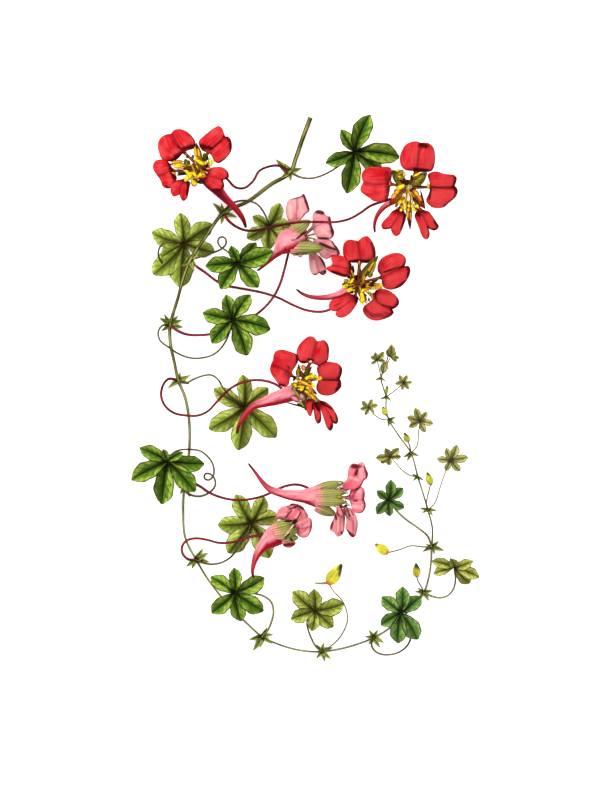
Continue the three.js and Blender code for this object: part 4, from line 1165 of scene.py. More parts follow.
def grow_bud(name, plan, start):
    """The egg with its furrows, its stalk and, on the largest, the young spur."""
    foot, tip = place(plan["base"]), place(plan["tip"])
    axis = (tip - foot).normalized()
    line = evenly([foot, tip], (tip - foot).length / 18)
    skin = BUD_SKINS.get(name, "bud_green")
    egg = grow_tube(name, line, [share * plan["half_width"] * MM for share in BUD_SWELL], 20, skin)
    for corner, (along, around) in zip(egg.data.vertices, map_of(egg)):
        reach = corner.co - foot
        out = reach - axis * reach.dot(axis)
        seam = math.sin(math.pi * 5 * around) / FURROW_WIDTH
        corner.co -= out * FURROW_DEPTH * math.exp(-(seam**2))
    way = flowing([place(start), *map(place, plan["way"]), foot + axis * 0.4 * MM], STALK_STEP)
    parts = [egg, grow_tube(name + "_stalk", way, BUD_STALK_RADII, 8, "bud_stalk")]
    if "spur" in plan:
        spur = flowing([foot + axis * 0.6 * MM, *map(place, plan["spur"])], 0.4 * MM)
        parts.append(grow_tube(name + "_spur", spur, BUD_SPUR_RADII, 8, "bud_stalk"))
    return parts


for name, plan in BUDS.items():
    whole = joined(name + "_egg", grow_bud(name, plan, NODES[plan["node"]]))
    put_on_stem(whole, name)
tip_bud = joined("tip_bud", grow_bud("tip_bud", TIP_BUD, TIP_BUD["from"]))
put_on_stem(tip_bud, None)
print("buds grown:", len(BUDS) + 1)

# %% [markdown]
# ## Petals
# Each flower has three broad petals that are nearly round, on narrow claws, and two narrower ones. A broad
# petal is two cushions side by side with a crease between them, and its margin rolls back. No two petals of
# the plant are alike: one is seen flat, the next is half folded. So the edges of each are drawn on the plan,
# as two lines from the claw round to the notch at its end. A grid is then pulled over the shape like a sheet
# over a hoop.

# %% The plan of the blooms: broad petals, then the narrow ones, which are called wedges
OPEN = {"sprung": (4.2, 6), "stamen": (6.6, 40)}
CUPPED = {"sprung": (8.5, 3.6), "stamen": (8, 10)}
BLOOMS = {
    "bloom_1": {
        **OPEN, "node": "n1", "throat": (200, 168, 20), "facing": (-0.3, 0.28, 0.91),
        "spur": [(206, 176, 16.4), (215, 187, 12.4), (226, 199, 9), (236, 209, 6.8), (243, 219, 5.4),
            (246, 228, 4.6)],
        "spur_radii": (3.6, 3.3, 2.9, 2.2, 1.6, 1.3, 1.05, 0.5),
        "stalk": [(279, 165.5, 2.8), (268, 166.5, 4.2), (259, 171, 5.4), (253, 181, 6.8), (244, 188, 8.2),
            (235, 187, 9.8), (227, 179, 11.6), (218, 173, 13.4), (207, 173, 16)],
        "petals": [(167, 134, 12, 14), (224, 131, 19, 13.6), (157, 176, 16, 12)],
        "wedges": [(180, 199, 22, 8.6), (229, 181, 26, 9.6)],
    },
    "bloom_2": {
        **OPEN, "node": "n2", "throat": (407, 189, 26), "facing": (0.22, 0.18, 0.96),
        "spur": [(404, 192, 21.8), (400, 196, 18.4), (393, 201, 15), (384, 207, 12), (377, 216, 9.6),
            (374.5, 225, 8.2), (375, 233, 7.4)],
        "spur_radii": (3.6, 2.9, 2.1, 1.5, 1.15, 0.95, 0.7, 0.4),
        "stalk": [(229, 221, 3), (237, 227, 4.8), (247, 230.5, 7.4), (259, 230, 11.4), (273, 227, 16.4),
            (288, 224, 21.4), (303, 222.5, 24.9), (320, 222.5, 26.2), (336, 222.5, 26), (349, 219.5, 25),
            (360, 213.5, 23.6), (370, 206.5, 22), (382, 202, 20.4), (399, 197, 17.6)],
        "petals": [(417, 142, 23, 14), (361, 184, 30, 13), (456, 190, 22, 14)],
        "wedges": [(388, 234, 30, 9.4), (431, 237, 27, 9.4)],
    },
    "bloom_3": {
        **OPEN, "node": "n3", "throat": (357, 284, 18), "facing": (0.3, 0.05, 0.953),
        "spur": [(353, 286, 14.4), (347, 290, 11.8), (337, 295, 9.8), (325, 297.5, 8.6), (312, 297, 7.8),
            (303, 294, 7.4), (296, 289, 7.2)],
        "spur_radii": (3.6, 2.7, 1.8, 1.4, 1.15, 0.9, 0.7, 0.4),
        "stalk": [(196, 266, 5.2), (206, 273, 5.7), (215, 280, 6.1), (224, 285, 6.2), (236, 287.5, 6.4),
            (250, 290, 6.6), (264, 293, 6.8), (279, 298, 7), (293, 305, 7.4), (308, 310.5, 8),
            (323, 311.5, 8.8), (336, 306, 10), (349, 291, 12)],
        "petals": [(358, 238, 19, 13.4), (405, 264, 13, 14), (389, 313, 15, 13.6)],
        "wedges": [(329, 264, 23, 8.8), (338, 312, 21, 9.6)],
    },
    "bloom_4": {
        **OPEN, "node": "n5", "throat": (301, 382, 18), "mouth": (302, 390, 17), "facing": (0.52, 0.16, 0.84),
        "spur": [(297, 391.5, 15), (289, 394, 12.8), (277, 398, 11), (265, 402, 9.6), (254, 406, 8.4),
            (245, 415, 7.4), (239, 425, 6.6), (236.5, 434, 6.2)],
        "spur_radii": (3.4, 3.3, 3.1, 2.7, 2, 1.45, 1.1, 0.8, 0.45),
        "stalk": [(168, 379, 2.4), (162.5, 386, 2.9), (161, 396, 3.2), (165, 406, 3.4), (174, 413, 3.6),
            (186, 415.5, 3.8), (198, 415.5, 4.1), (208, 411, 4.6), (217, 401.5, 5.2), (226, 392, 6),
            (237, 384.5, 7.2), (250, 380.5, 8.8), (263, 380.5, 10.4), (275, 384, 11.8), (285, 391, 12.6)],
        "petals": [(272, 362, 25, 13.4), (314, 336, 14, 13), (342, 378, 10, 13)],
        "wedges": [(312, 418, 19, 6.4), (333, 428, 15, 8.6)],
    },
    "bloom_5": {
        **OPEN, "sprung": (4.5, 5), "node": "n4", "throat": (301, 239, 12.4), "mouth": (295.5, 240, 13.6),
        "facing": (0.6, 0.3, -0.74),
        "spur": [(289, 241.5, 14.2), (283, 246.5, 12.8), (276.5, 253.5, 10.8), (267, 263, 8.8),
            (257, 271, 7.4)],
        "spur_radii": (5, 5.2, 4, 2.1, 1.15, 0.8, 0.6, 0.4),
        "stalk": [(178, 331, 1.9), (188, 334.5, 2.5), (200, 335, 2.9), (214, 333.5, 3.3), (230, 329, 3.8),
            (244, 322, 4.8), (256, 314.5, 6.4), (266, 306, 8.2), (274, 296, 9.8), (280, 284, 11),
            (284, 271, 12), (287, 259, 12.6), (290, 247, 14.4)],
        "petals": [(297, 194, 13.6, 10.5), (326, 207, 20, 10.5), (342, 250, 18, 10.5)],
        "wedges": [(318, 277, 7, 9), (297, 252, 2.4, 7)],
    },
    "bloom_6": {
        **CUPPED, "node": "n6", "throat": (322, 497, 14), "facing": (0.97, -0.15, 0.18),
        "spur": [(312, 496.3, 13.4), (301, 496, 12.8), (290, 495, 12), (279, 492.5, 11.2), (269, 488.5, 10.4),
            (262, 481.5, 9.8), (255, 472, 9.4), (248, 463, 9.2)],
        "spur_radii": (5.6, 3.9, 2.6, 2.1, 1.75, 1.5, 1.1, 0.8, 0.58, 0.38),
        "stalk": [(190, 482.5, 2.2), (199, 486, 3.5), (208, 492, 4.8), (218, 496.5, 5.6), (230, 499.5, 6),
            (243, 500, 6.2), (256, 498, 6.4), (267, 494.5, 6.6), (277, 489.5, 7.2), (286, 486, 8.4),
            (296, 484.5, 10.2), (306, 487, 12.2), (315, 493, 13.6)],
        "petals": [(357, 463, 21, 10.5, 20), (363, 500, 25, 12), (339, 538, 18, 10, -20)],
        "wedges": [(353, 537, 11, 8, -15), (358, 478, 3.4, 7)],
    },
    "bloom_7": {
        **CUPPED, "sprung": (7.5, 3.2), "node": "n7", "throat": (280, 532, 13), "facing": (0.74, 0.58, 0.34),
        "spur": [(273, 537.5, 12.4), (266, 543, 12), (260, 549.5, 11.8), (256, 557, 11.8), (253.5, 565, 11.8),
            (252.5, 572, 11.9), (253.5, 578, 12)],
        "spur_radii": (4.5, 4.3, 3.4, 2.4, 1.8, 1.4, 1, 0.7, 0.4),
        "stalk": [(188, 559.5, 1.9), (182.5, 554, 2.5), (182, 546.5, 3), (187, 540.5, 3.4), (196, 538.5, 3.8),
            (207, 540, 4.2), (219, 543, 4.6), (231, 542.5, 5.2), (243, 539, 6), (255, 536, 7.4),
            (265, 534.5, 9.2), (272, 537, 11.2)],
        "petals": [(285, 504, 20, 10, 40), (310, 525, 23, 11), (302, 506, 9, 9)],
        "wedges": [(303, 542, 13, 7), (307, 528, 4, 7)],
    },
}
print("blooms drawn:", len(BLOOMS))

# %% The edges of the petals, in the order of the plan: one edge, the notch, the other edge
PETAL_EDGES = {
    "bloom_1": [
        ([(186, 151), (190, 150), (194, 148.5), (195.5, 143), (193, 138), (189, 133.5), (184, 130.5),
         (178, 129.3), (174, 130.5)], (171, 134), [(182, 154), (179, 158), (174, 161.5), (168, 161.5),
         (162, 159), (159.5, 153), (158, 147), (159, 141), (162, 137), (167, 134.5)]),
        ([(207, 152.5), (203, 151), (200, 147), (199, 142), (204, 136.5), (210, 131.5), (215, 128),
         (219, 126.5), (222.5, 129), (224, 133.5)], (225.5, 137), [(211, 152), (212.5, 157), (214.5, 161.5),
         (218, 163.8), (223, 161.5), (228, 156.5), (231.3, 151), (232, 145), (230.5, 139.5), (228, 137)]),
        ([(172, 168), (169, 163), (165.5, 160.5), (160.5, 160), (156, 161), (153.5, 164.5), (153.5, 169),
         (155.5, 173)], (158, 176.5), [(175, 174), (177, 179), (174, 184), (170.5, 188.5), (166, 188.5),
         (162.5, 186), (161.3, 181.5)]),
        ([(182, 180), (177, 181), (172.5, 184.5), (171, 189), (171.5, 193.5), (174, 197), (177, 196.3)],
         (180, 195), [(187, 181), (190.5, 183), (189.5, 189), (188.5, 194.5), (187, 199), (183.5, 201.5),
         (181.2, 198.5)]),
        ([(207, 172), (212, 168.5), (218, 167.8), (223, 168.3), (227, 171.5), (229, 175.5), (228.3, 179)],
         (223.5, 180.5), [(205.5, 179), (206, 184), (209.5, 187.5), (214, 190.3), (219, 190.5),
         (223.5, 189.5), (224.5, 185.5), (223.5, 182.5)]),
    ],
    "bloom_2": [
        ([(412, 171.5), (406, 170.8), (402, 168), (400, 163), (400, 157), (402, 151), (405, 146), (410, 143),
         (416, 142)], (420.5, 143.5), [(420, 172.5), (426, 172.5), (431, 171.5), (433.5, 167), (434.5, 160),
         (434.3, 153), (432.5, 147.5), (429, 144.3), (425, 143.3)]),
        ([(390.5, 181), (391.3, 174), (390, 168.8), (384, 168), (376, 168), (369, 168.5), (364.5, 170.5),
         (361.5, 175.5), (362, 180)], (363.3, 183), [(389.5, 188), (388.5, 195), (386.5, 200.5), (381, 202),
         (375, 202.2), (371.5, 200.5), (368.5, 196.5), (363.5, 194.5), (360.3, 191.5), (361, 187)]),
        ([(430, 185), (428.5, 180), (427.5, 175.5), (431, 173), (437, 172.3), (443, 174.3), (449, 175),
         (454, 175.8), (456.3, 178.5), (455.5, 183)], (454.3, 186.5), [(430, 190), (428, 196), (425.8, 201),
         (428.5, 205.5), (432, 208), (438, 208.6), (443.5, 207.5), (447, 204), (452.5, 200), (456, 196),
         (457.3, 191.5), (456, 188)]),
        ([(395, 210), (391, 213), (388, 217), (384, 221), (381.2, 225), (382.3, 229.5), (386, 230)],
         (390.5, 229), [(403, 211), (405.5, 215.5), (405, 220.5), (403, 226), (401.3, 230.5), (399, 235),
         (395, 236.8), (391.8, 233.5)]),
        ([(416, 212), (414, 216), (416, 222), (418.8, 228.5), (420.8, 234.5), (423.5, 239), (426.5, 240),
         (428.8, 237), (428.8, 232.5)], (427.8, 228.5), [(424, 211), (428.5, 212.5), (432, 217), (435.3, 222),
         (438.3, 227), (436.5, 230), (433, 231), (430, 229.8)]),
    ],
    "bloom_3": [
        ([(357, 262.8), (351, 262.5), (346.5, 259.5), (343.5, 256), (343, 250), (343.8, 244.5), (346.5, 241),
         (350.5, 240), (354.5, 240.8)], (358, 241.5), [(362, 262.8), (367, 263), (372, 261.5), (375, 257.5),
         (375.2, 251), (373.5, 245), (371, 240.3), (367.3, 236.5), (363.5, 237), (360.5, 239)]),
        ([(382, 275), (378.5, 272.5), (377.5, 268), (379, 262), (382.5, 258), (388, 255), (394, 253.3),
         (400, 253.6), (404.5, 256.5), (406, 260.5), (405, 264.5)], (404.5, 266.5), [(382, 280), (382, 284.5),
         (384.5, 288), (390, 289.7), (396, 288.5), (401.5, 286), (406, 281), (409, 275.5), (410.2, 270.5),
         (408.5, 266.3)]),
        ([(374, 294), (376, 290.5), (382, 289.3), (388.5, 290.8), (394, 294.5), (398, 299), (398.8, 303.5),
         (396.3, 307)], (392, 309.5), [(373, 300), (369, 303.5), (364.5, 306), (362.7, 310.5), (365.5, 316),
         (371, 319.7), (378, 320.5), (385, 318.5), (391, 315.8), (393.6, 312.5)]),
        ([(351, 264), (348, 259.5), (343.5, 257), (338, 255.5), (333, 256), (331, 258.5), (332.3, 263)],
         (331, 266), [(350, 272), (348.5, 276.5), (344, 277.3), (338, 275.5), (332, 273), (327.5, 270.5),
         (326, 268.3), (328.5, 267)]),
        ([(353, 294.5), (347, 294.5), (341, 297), (335, 299), (331, 300.8), (329, 305), (329.5, 309.5),
         (333, 311.3)], (337, 311.5), [(358.5, 298), (357, 303), (353, 309.5), (348.5, 314.5), (342.5, 317.6),
         (337.5, 317), (335.3, 314)]),
    ],
    "bloom_4": [
        ([(292, 371), (295.5, 366), (298, 360.5), (297, 355), (291, 352.3), (284, 350.3), (277, 350.8),
         (274, 354), (273, 360)], (271, 364.5), [(289, 379), (288.5, 384.5), (284.5, 387), (279.5, 385),
         (275.5, 380), (271.5, 374.5), (270, 369)]),
        ([(308, 362), (303, 363.7), (299, 361.5), (297, 356.5), (297, 350), (300, 344.3), (304.5, 339.5),
         (309.5, 336.3), (314, 337.5)], (317, 341.3), [(313, 362.5), (317.5, 365.2), (322.5, 363.5),
         (327.5, 360.5), (328.6, 354), (328.8, 348), (327, 343), (323.5, 340), (320, 341)]),
        ([(320, 376.5), (317.5, 372), (317.3, 367), (320.5, 363.5), (326, 361.8), (332, 362.3), (338.5, 364),
         (342, 368.5), (341.5, 374)], (339.7, 378.7), [(320, 380.5), (316.8, 385), (317, 390.5),
         (320.5, 394.3), (326.5, 395.5), (332.5, 394.3), (337.5, 391), (341, 386.5), (341, 382)]),
        ([(307, 399), (305.7, 404), (306.3, 410), (308.5, 415), (310.3, 416.5), (312, 413)], (313, 406),
         [(314, 400.5), (317.5, 403.5), (320, 409.5), (321.2, 417), (320.5, 422), (318.3, 423.7),
         (315.5, 420), (314.2, 412.5)]),
        ([(317, 402.5), (320, 408.5), (322.5, 414.5), (324.5, 420.5), (327, 427.5), (330.5, 430.8),
         (332.8, 427.5)], (332.7, 421.5), [(320, 400.5), (325.5, 402), (331, 406.3), (335, 412),
         (337.8, 418.5), (337, 423.5), (334, 423.5)]),
    ],
    "bloom_5": [
        ([(291, 223.5), (287.8, 219), (286.3, 212), (286.3, 206.5), (288, 201), (292, 198.6)], (297.3, 197.3),
         [(297, 223), (302, 218.5), (306, 214), (309.5, 211), (308.5, 206), (306.5, 200), (303.5, 193.8),
         (301, 196)]),
        ([(312, 226), (313, 221), (312.8, 215.5), (315, 211.8), (319, 210), (323.5, 212), (326, 215.8),
         (330, 217.3)], (331, 223), [(313, 230), (316, 235.5), (318.5, 239), (324, 238.7), (329.5, 239.3),
         (333, 236.5), (334, 232.5), (332.3, 227.5)]),
        ([(312, 243), (315, 239.8), (321, 238.6), (327, 239.3), (331.5, 241), (335, 245.5), (338.5, 250)],
         (340, 254.5), [(314, 250), (319, 253.5), (322.5, 257.5), (327, 259), (331, 257), (334.5, 255),
         (337.5, 255.5)]),
        ([(309, 255), (309.5, 261), (310, 267.5), (311.5, 272.5), (315, 275.3), (318, 273.8)], (319.5, 273),
         [(317, 254.5), (321.5, 258), (324.5, 262.5), (326, 268), (326, 273), (323, 275)]),
        ([(298, 246), (294, 249), (292, 253), (294, 256)], (297, 255), [(302, 247), (304, 251),
         (302.5, 255.5), (300, 257)]),
    ],
    "bloom_6": [
        ([(342, 484), (347, 479.5), (348, 474), (348.5, 469), (350.5, 465), (353.5, 463)], (357.5, 464.3),
         [(343, 489), (349, 489), (356, 489.5), (361.5, 485), (363, 481), (366.5, 478), (367.7, 473.5),
         (365.5, 468), (363.3, 462.3), (360.5, 462)]),
        ([(349.5, 494), (351, 489.5), (355.5, 486.5), (360.5, 486), (363.5, 488.5), (364.5, 493.5)],
         (363.8, 499.5), [(350, 501), (351.5, 506.5), (354, 511.5), (358.5, 513.2), (362.5, 511.5),
         (365.3, 506.5), (365, 502)]),
        ([(337, 510), (334.5, 516), (332.5, 521), (330, 526), (330.5, 530.3), (334, 532), (336.3, 535.6)],
         (338.5, 536.6), [(344, 509), (344.8, 515), (344.5, 521), (344.2, 527), (343.4, 531.5),
         (341.5, 535)]),
        ([(347, 508), (346, 514), (346.5, 521), (345.5, 528), (348, 532.5), (350.3, 536.5)], (353, 537.6),
         [(352, 509), (355, 514), (356.8, 519), (357.7, 524.5), (356.7, 530.5), (355.3, 535.5)]),
        ([(343, 486), (347, 481), (352, 477), (357, 476)], (359, 479), [(345, 492), (351, 489), (356, 486),
         (359, 483)]),
    ],
    "bloom_7": [
        ([(285, 521), (280, 519), (276, 517.5), (277, 513), (280, 508.5), (284, 506)], (289, 505.6),
         [(293.5, 522.5), (297, 519), (300, 515), (300.8, 511.5), (298, 508.3), (294, 506.5)]),
        ([(296, 525.5), (299.5, 521.5), (304, 518.5), (308.5, 517.3), (311.5, 519.5)], (312, 525.5),
         [(296.5, 530), (298, 535), (302, 537.3), (306.5, 536.8), (309.8, 533), (311.5, 529)]),
        ([(294, 521), (292, 513), (289, 507.5), (291, 504)], (297, 504), [(297.5, 522), (303, 519.5),
         (308, 516.5), (305.5, 511.5), (302.5, 507)]),
        ([(286, 539), (282, 541.5), (283, 545), (286, 547.5)], (290, 547.5), [(291, 539), (294, 541),
         (295.5, 543.5), (293, 546)]),
        ([(293, 527), (297, 523), (302, 522)], (306, 526), [(293, 532), (297, 534), (303, 533)]),
    ],
}
print("petals drawn:", sum(len(petals) for petals in PETAL_EDGES.values()))

# %% [markdown]
# A petal rises out of the throat, bends over and runs on to its end. That line gives the height of each
# point, and the drawn edges give its place on the plan. A curve modifier could bend a petal too, but it
# would twist the blade wherever the line turns.

# %% Where the petals carry painted shade and painted highlights
# Each stroke runs from across and down, to across and down, and has a half width, all on the plan.
# Painted shade: dark strokes in the folds and creases, at the inner ends of the blades and along their
# margins.
DARK_SHADE_STROKES = {
    "bloom_1": [
        (184, 149.5, 196, 146, 2.4), (176, 157.5, 182, 153.5, 2.6), (170, 162, 176, 159, 1.4),
        (178, 147, 184, 151, 1.1), (191, 134, 196, 143, 1.1), (200, 146, 212, 149.5, 2.1),
        (230, 141, 231, 152, 1.3), (214, 148, 221, 141.5, 0.8), (224, 137, 229, 138.5, 0.9),
        (170, 163, 174.5, 178, 2.3), (188.5, 183, 187.5, 195, 1.2), (184, 181.5, 189, 183, 1),
        (213, 190, 221, 190, 1), (228, 172, 228.5, 178, 1), (166, 186, 170, 189, 0.8),
    ],
    "bloom_2": [
        (420, 146, 426, 147, 2.3), (414, 169.5, 427, 171, 1.3), (430, 188, 452, 188, 0.8),
        (430, 190, 429, 199, 1.2), (455.5, 188, 455, 196, 1.2), (444, 206, 454, 199, 1),
        (405, 213, 401, 230, 1.2), (383, 229.5, 391, 228.5, 0.8), (419, 209, 425, 209, 1.3),
        (414.5, 213, 419, 216.5, 1.1), (434, 222, 437, 228, 1.2), (427, 228, 429, 231, 1),
        (428.5, 232, 428, 238, 1),
    ],
    "bloom_3": [
        (352, 261.5, 372, 262, 2), (371, 243, 374, 257, 1), (383, 272.5, 403, 266, 0.8),
        (408.5, 268, 407, 280, 1.3), (395, 288, 405, 281, 1), (404, 264, 406, 267, 0.8),
        (381, 305, 391, 307, 0.8), (375, 293, 376, 300, 0.8), (350, 262, 351, 270, 1.6),
        (332, 272, 346, 276, 1.3), (357, 298, 356, 303, 1.2),
    ],
    "bloom_4": [
        (296.5, 355, 297, 368, 1.2), (279, 384, 284, 385.5, 1), (299, 361.5, 306, 362.5, 1.1),
        (308, 359.5, 313, 360.5, 1.3), (327.5, 343, 328, 356, 1), (322, 380, 337, 380, 0.8),
        (340.5, 368, 340.5, 376, 1), (338.5, 383, 336, 390, 1), (312.3, 404, 312, 412, 0.8),
        (314, 403, 318, 410, 1), (318, 422.5, 321, 417, 1), (321, 403, 333, 409.5, 1),
        (335.5, 413, 337, 419, 1), (330, 416, 333, 423, 0.9), (329, 429.5, 332, 424, 1),
    ],
    "bloom_5": [
        (303.5, 194, 309, 209, 1.4), (289, 199, 303, 196.5, 1.1), (317, 212, 323, 213, 1.9),
        (329.5, 218, 333, 235, 1.4), (317, 238, 331, 239, 0.9), (332.5, 241, 339, 253, 1.2),
        (320, 243.5, 335, 249.5, 1.5), (320, 256, 326, 267, 1.3), (312, 274, 318, 274, 0.9),
        (321, 272.5, 325, 271, 1.1),
    ],
    "bloom_6": [
        (353, 466, 361, 467, 2.3), (357.5, 470, 356, 474.5, 1.6), (364.5, 467, 367, 476, 0.9),
        (354, 500.5, 357, 500.5, 1), (335, 515, 336, 519, 1.1), (332.5, 521, 331, 528, 0.9),
        (341, 532, 342, 534.5, 1.1), (347, 531, 353, 536, 1.4),
    ],
    "bloom_7": [
        (288, 505.5, 295, 503.5, 1.3), (290, 508.5, 298, 506, 1), (286, 517, 292, 510, 0.7),
        (300, 507, 302.5, 509, 1.5), (284, 545, 293, 544, 1.6),
    ],
}
# Softer painted shade, of the same kinds.
SOFT_SHADE_STROKES = {
    "bloom_2": [(419, 151, 417.5, 168, 0.9), (387, 174, 386, 198, 2.6)],
    "bloom_3": [
        (365, 309, 372, 315.5, 2.6), (372, 315.5, 386, 314, 3), (334, 306, 340, 303.5, 1.1),
        (338, 309, 341, 308.5, 1.1),
    ],
    "bloom_4": [(288.5, 367, 288, 378, 2.4), (286, 371, 284, 376, 2)],
    "bloom_5": [(296.5, 200, 297, 220, 0.7), (286.5, 209, 288, 219, 0.7)],
    "bloom_6": [
        (357, 489, 352, 498.5, 1.3), (363, 488, 362.5, 503, 1.3), (344, 515, 344, 528, 0.9),
        (346, 507, 349, 520, 1.1), (357, 520, 355, 534, 0.8), (353, 520, 353.5, 530, 0.7),
    ],
    "bloom_7": [
        (301, 512, 302, 519, 1.1), (304.5, 511, 307, 517, 1.2), (310.5, 518, 311, 526, 1),
        (302, 525, 308, 520.5, 0.9), (305, 530, 308, 526, 0.9), (298.5, 526, 299, 532, 0.8),
    ],
}
print("strokes drawn:", sum(map(len, [*DARK_SHADE_STROKES.values(), *SOFT_SHADE_STROKES.values()])))
# Painted highlights: strokes where the petals are painted paler.
HIGHLIGHT_STROKES = {
    "bloom_3": [
        (349, 246, 350, 256, 3.4), (366, 244, 367, 254, 3.4), (386, 262, 396, 259, 3.6),
        (390, 279, 402, 274, 3.8), (381, 295, 390, 299, 3.8), (374, 308, 382, 309.5, 2.4),
        (336, 262, 343, 264, 2.6), (344, 300, 351, 297, 2.6), (338, 310, 345, 312, 2.4),
    ],
    "bloom_5": [
        (290, 206, 290.5, 217, 2.6), (300, 202, 301, 210, 1.4), (314, 262, 315, 270, 2.4),
        (322, 230, 328, 234, 1.6),
    ],
    "bloom_6": [
        (361.5, 469, 361.5, 478, 1.8), (350, 477, 358, 480, 1.6), (338, 519, 338, 531, 1.2),
        (353, 506, 361, 507, 2.2), (361, 489, 360, 494, 0.9),
    ],
    "bloom_7": [
        (280, 514.5, 286, 514, 1.4), (299.5, 511, 296, 517, 0.9), (298, 523, 302, 519.5, 1.2),
        (301, 535, 308, 531, 1.6),
    ],
}


# %% The directions of a flower, and how a petal is pulled over its edges
CLAW_FOOT = (0.9, 1.4)
CLAW = 0.34  # the share of the map that covers the claw
CLAW_WIDTH = 1.1 * MM
FLANK = 0.62  # the share of a drawn edge that is the petal's side; the rest is its end
# The petal margins that look towards EDGE_SIDE, away from the window, are given painted shade from RIM of the
# way out.
EDGE_SIDE = Vector((0.94, -0.34, 0))  # the way the dark margins look
RIM = 0.84  # the share of the way to the margin from which it darkens
# How strongly the softer painted shade and the painted highlights are laid on.
FAINTNESS = 0.55
HIGHLIGHT_STRENGTH = {"bloom_3": 0.28}
USUAL_HIGHLIGHT_STRENGTH = 0.6
PETAL_THICKNESS = 0.3 * MM


class Flower:
    """The directions of one flower: out of its throat, and from its axis towards each petal."""

    def __init__(self, name, plan):
        self.name = name
        self.plan = plan
        self.middle = place(plan["throat"])
        self.mouth = place(plan.get("mouth", plan["throat"]))
        self.out = Vector(plan["facing"]).normalized()

    def spring(self, forward, outward, radial):
        """A place that many millimetres in front of the throat and away from the axis."""
        return self.middle + self.out * forward * MM + radial * outward * MM

    def radial(self, spot):
        """The direction from the axis straight towards a place."""
        reach = spot - self.middle
        return (reach - self.out * reach.dot(self.out)).normalized()

    def radial_at(self, turn):
        """The direction away from the axis, turned that far from the first petal."""
        first = self.radial(place(self.plan["petals"][0][:3]))
        return first * math.cos(turn) + self.out.cross(first) * math.sin(turn)

    def leaning(self, radial, degrees):
        """The direction that leans away from the axis by so many degrees."""
        lean = math.radians(degrees)
        return self.out * math.cos(lean) + radial * math.sin(lean)


def hoop(edges):
    """The place on the plan of any point of the blade, between its two drawn edges."""
    first, notch, second = edges
    left, right = (
        flowing([place((*dot, 0)) for dot in (*side, notch)], 0.25 * MM) for side in (first, second)
    )
    shoulders = along_list(left, FLANK), along_list(right, FLANK)

    def spot(across, along):
        side, share = (left, across) if across < 0.5 else (right, 1 - across)
        end = along_list(side, FLANK + (1 - FLANK) * 2 * share)
        flank = along_list(left, FLANK * along).lerp(along_list(right, FLANK * along), across)
        return flank + (end - shoulders[0].lerp(shoulders[1], across)) * along

    return spot


def cushion(across, along, depth, seed):
    """How far a blade swells above its midline, in shares of its width."""
    off = 2 * across - 1
    rise = min(along / 0.22, 1) * (1 - 0.5 * along**5)
    crease = math.exp(-((off / 0.22) ** 2)) * (0.22 + 0.18 * along)
    ripple = 0.12 * math.sin(9 * along + seed) * off + 0.1 * math.sin(5 * across + 7 * along + seed)
    return depth * rise * (1 - abs(off) ** 3 - crease + ripple)


def touch(spot, strokes):
    """How strongly a plan point is painted: most on the line of a stroke, and softly less beside it."""
    strongest = 0
    for across, down, *end, half in strokes:
        start = Vector((across, down))
        line = Vector(end) - start
        share = min(max((spot - start).dot(line) / max(line.length_squared, 0.01), 0), 1)
        away = (spot - start - line * share).length / half
        strongest = max(strongest, 1.1 * math.exp(-0.7 * away**2))
    return strongest


def paint_petal(piece, name):
    """Notes on each corner its painted shade and painted highlight: painted shade along the margins that turn
    away from the window, and both where the tables have a stroke.
    """
    deep_shade, faint, pale = (strokes.get(name, []) for strokes in (DARK_SHADE_STROKES, SOFT_SHADE_STROKES, HIGHLIGHT_STROKES))
    marks = piece.data.attributes.new(PAINT, "FLOAT", "POINT")
    spots = map_of(piece)
    blade = [corner.co for corner, (across, along) in zip(piece.data.vertices, spots) if along > CLAW]
    heart = sum(blade, Vector()) / len(blade)
    for corner, (across, along), mark in zip(piece.data.vertices, spots, marks.data):
        reach = corner.co - heart
        reach.z = 0
        # Painted shade along the margins that look away from the window.
        turned = min(max(reach.normalized().dot(EDGE_SIDE) / 0.5 - 0.4, 0), 1)
        rim = max(abs(2 * across - 1), (along - CLAW) / (1 - CLAW))
        dark = turned * min(max(rim - RIM, 0) / 0.12, 1)
        spot = Vector((corner.co.x / GRID + PLAN_CENTRE[0], PLAN_CENTRE[1] - corner.co.y / GRID))
        dark = max(dark, touch(spot, deep_shade), FAINTNESS * touch(spot, faint))
        mark.value = min(dark, 1) - HIGHLIGHT_STRENGTH.get(name, USUAL_HIGHLIGHT_STRENGTH) * min(touch(spot, pale), 1)


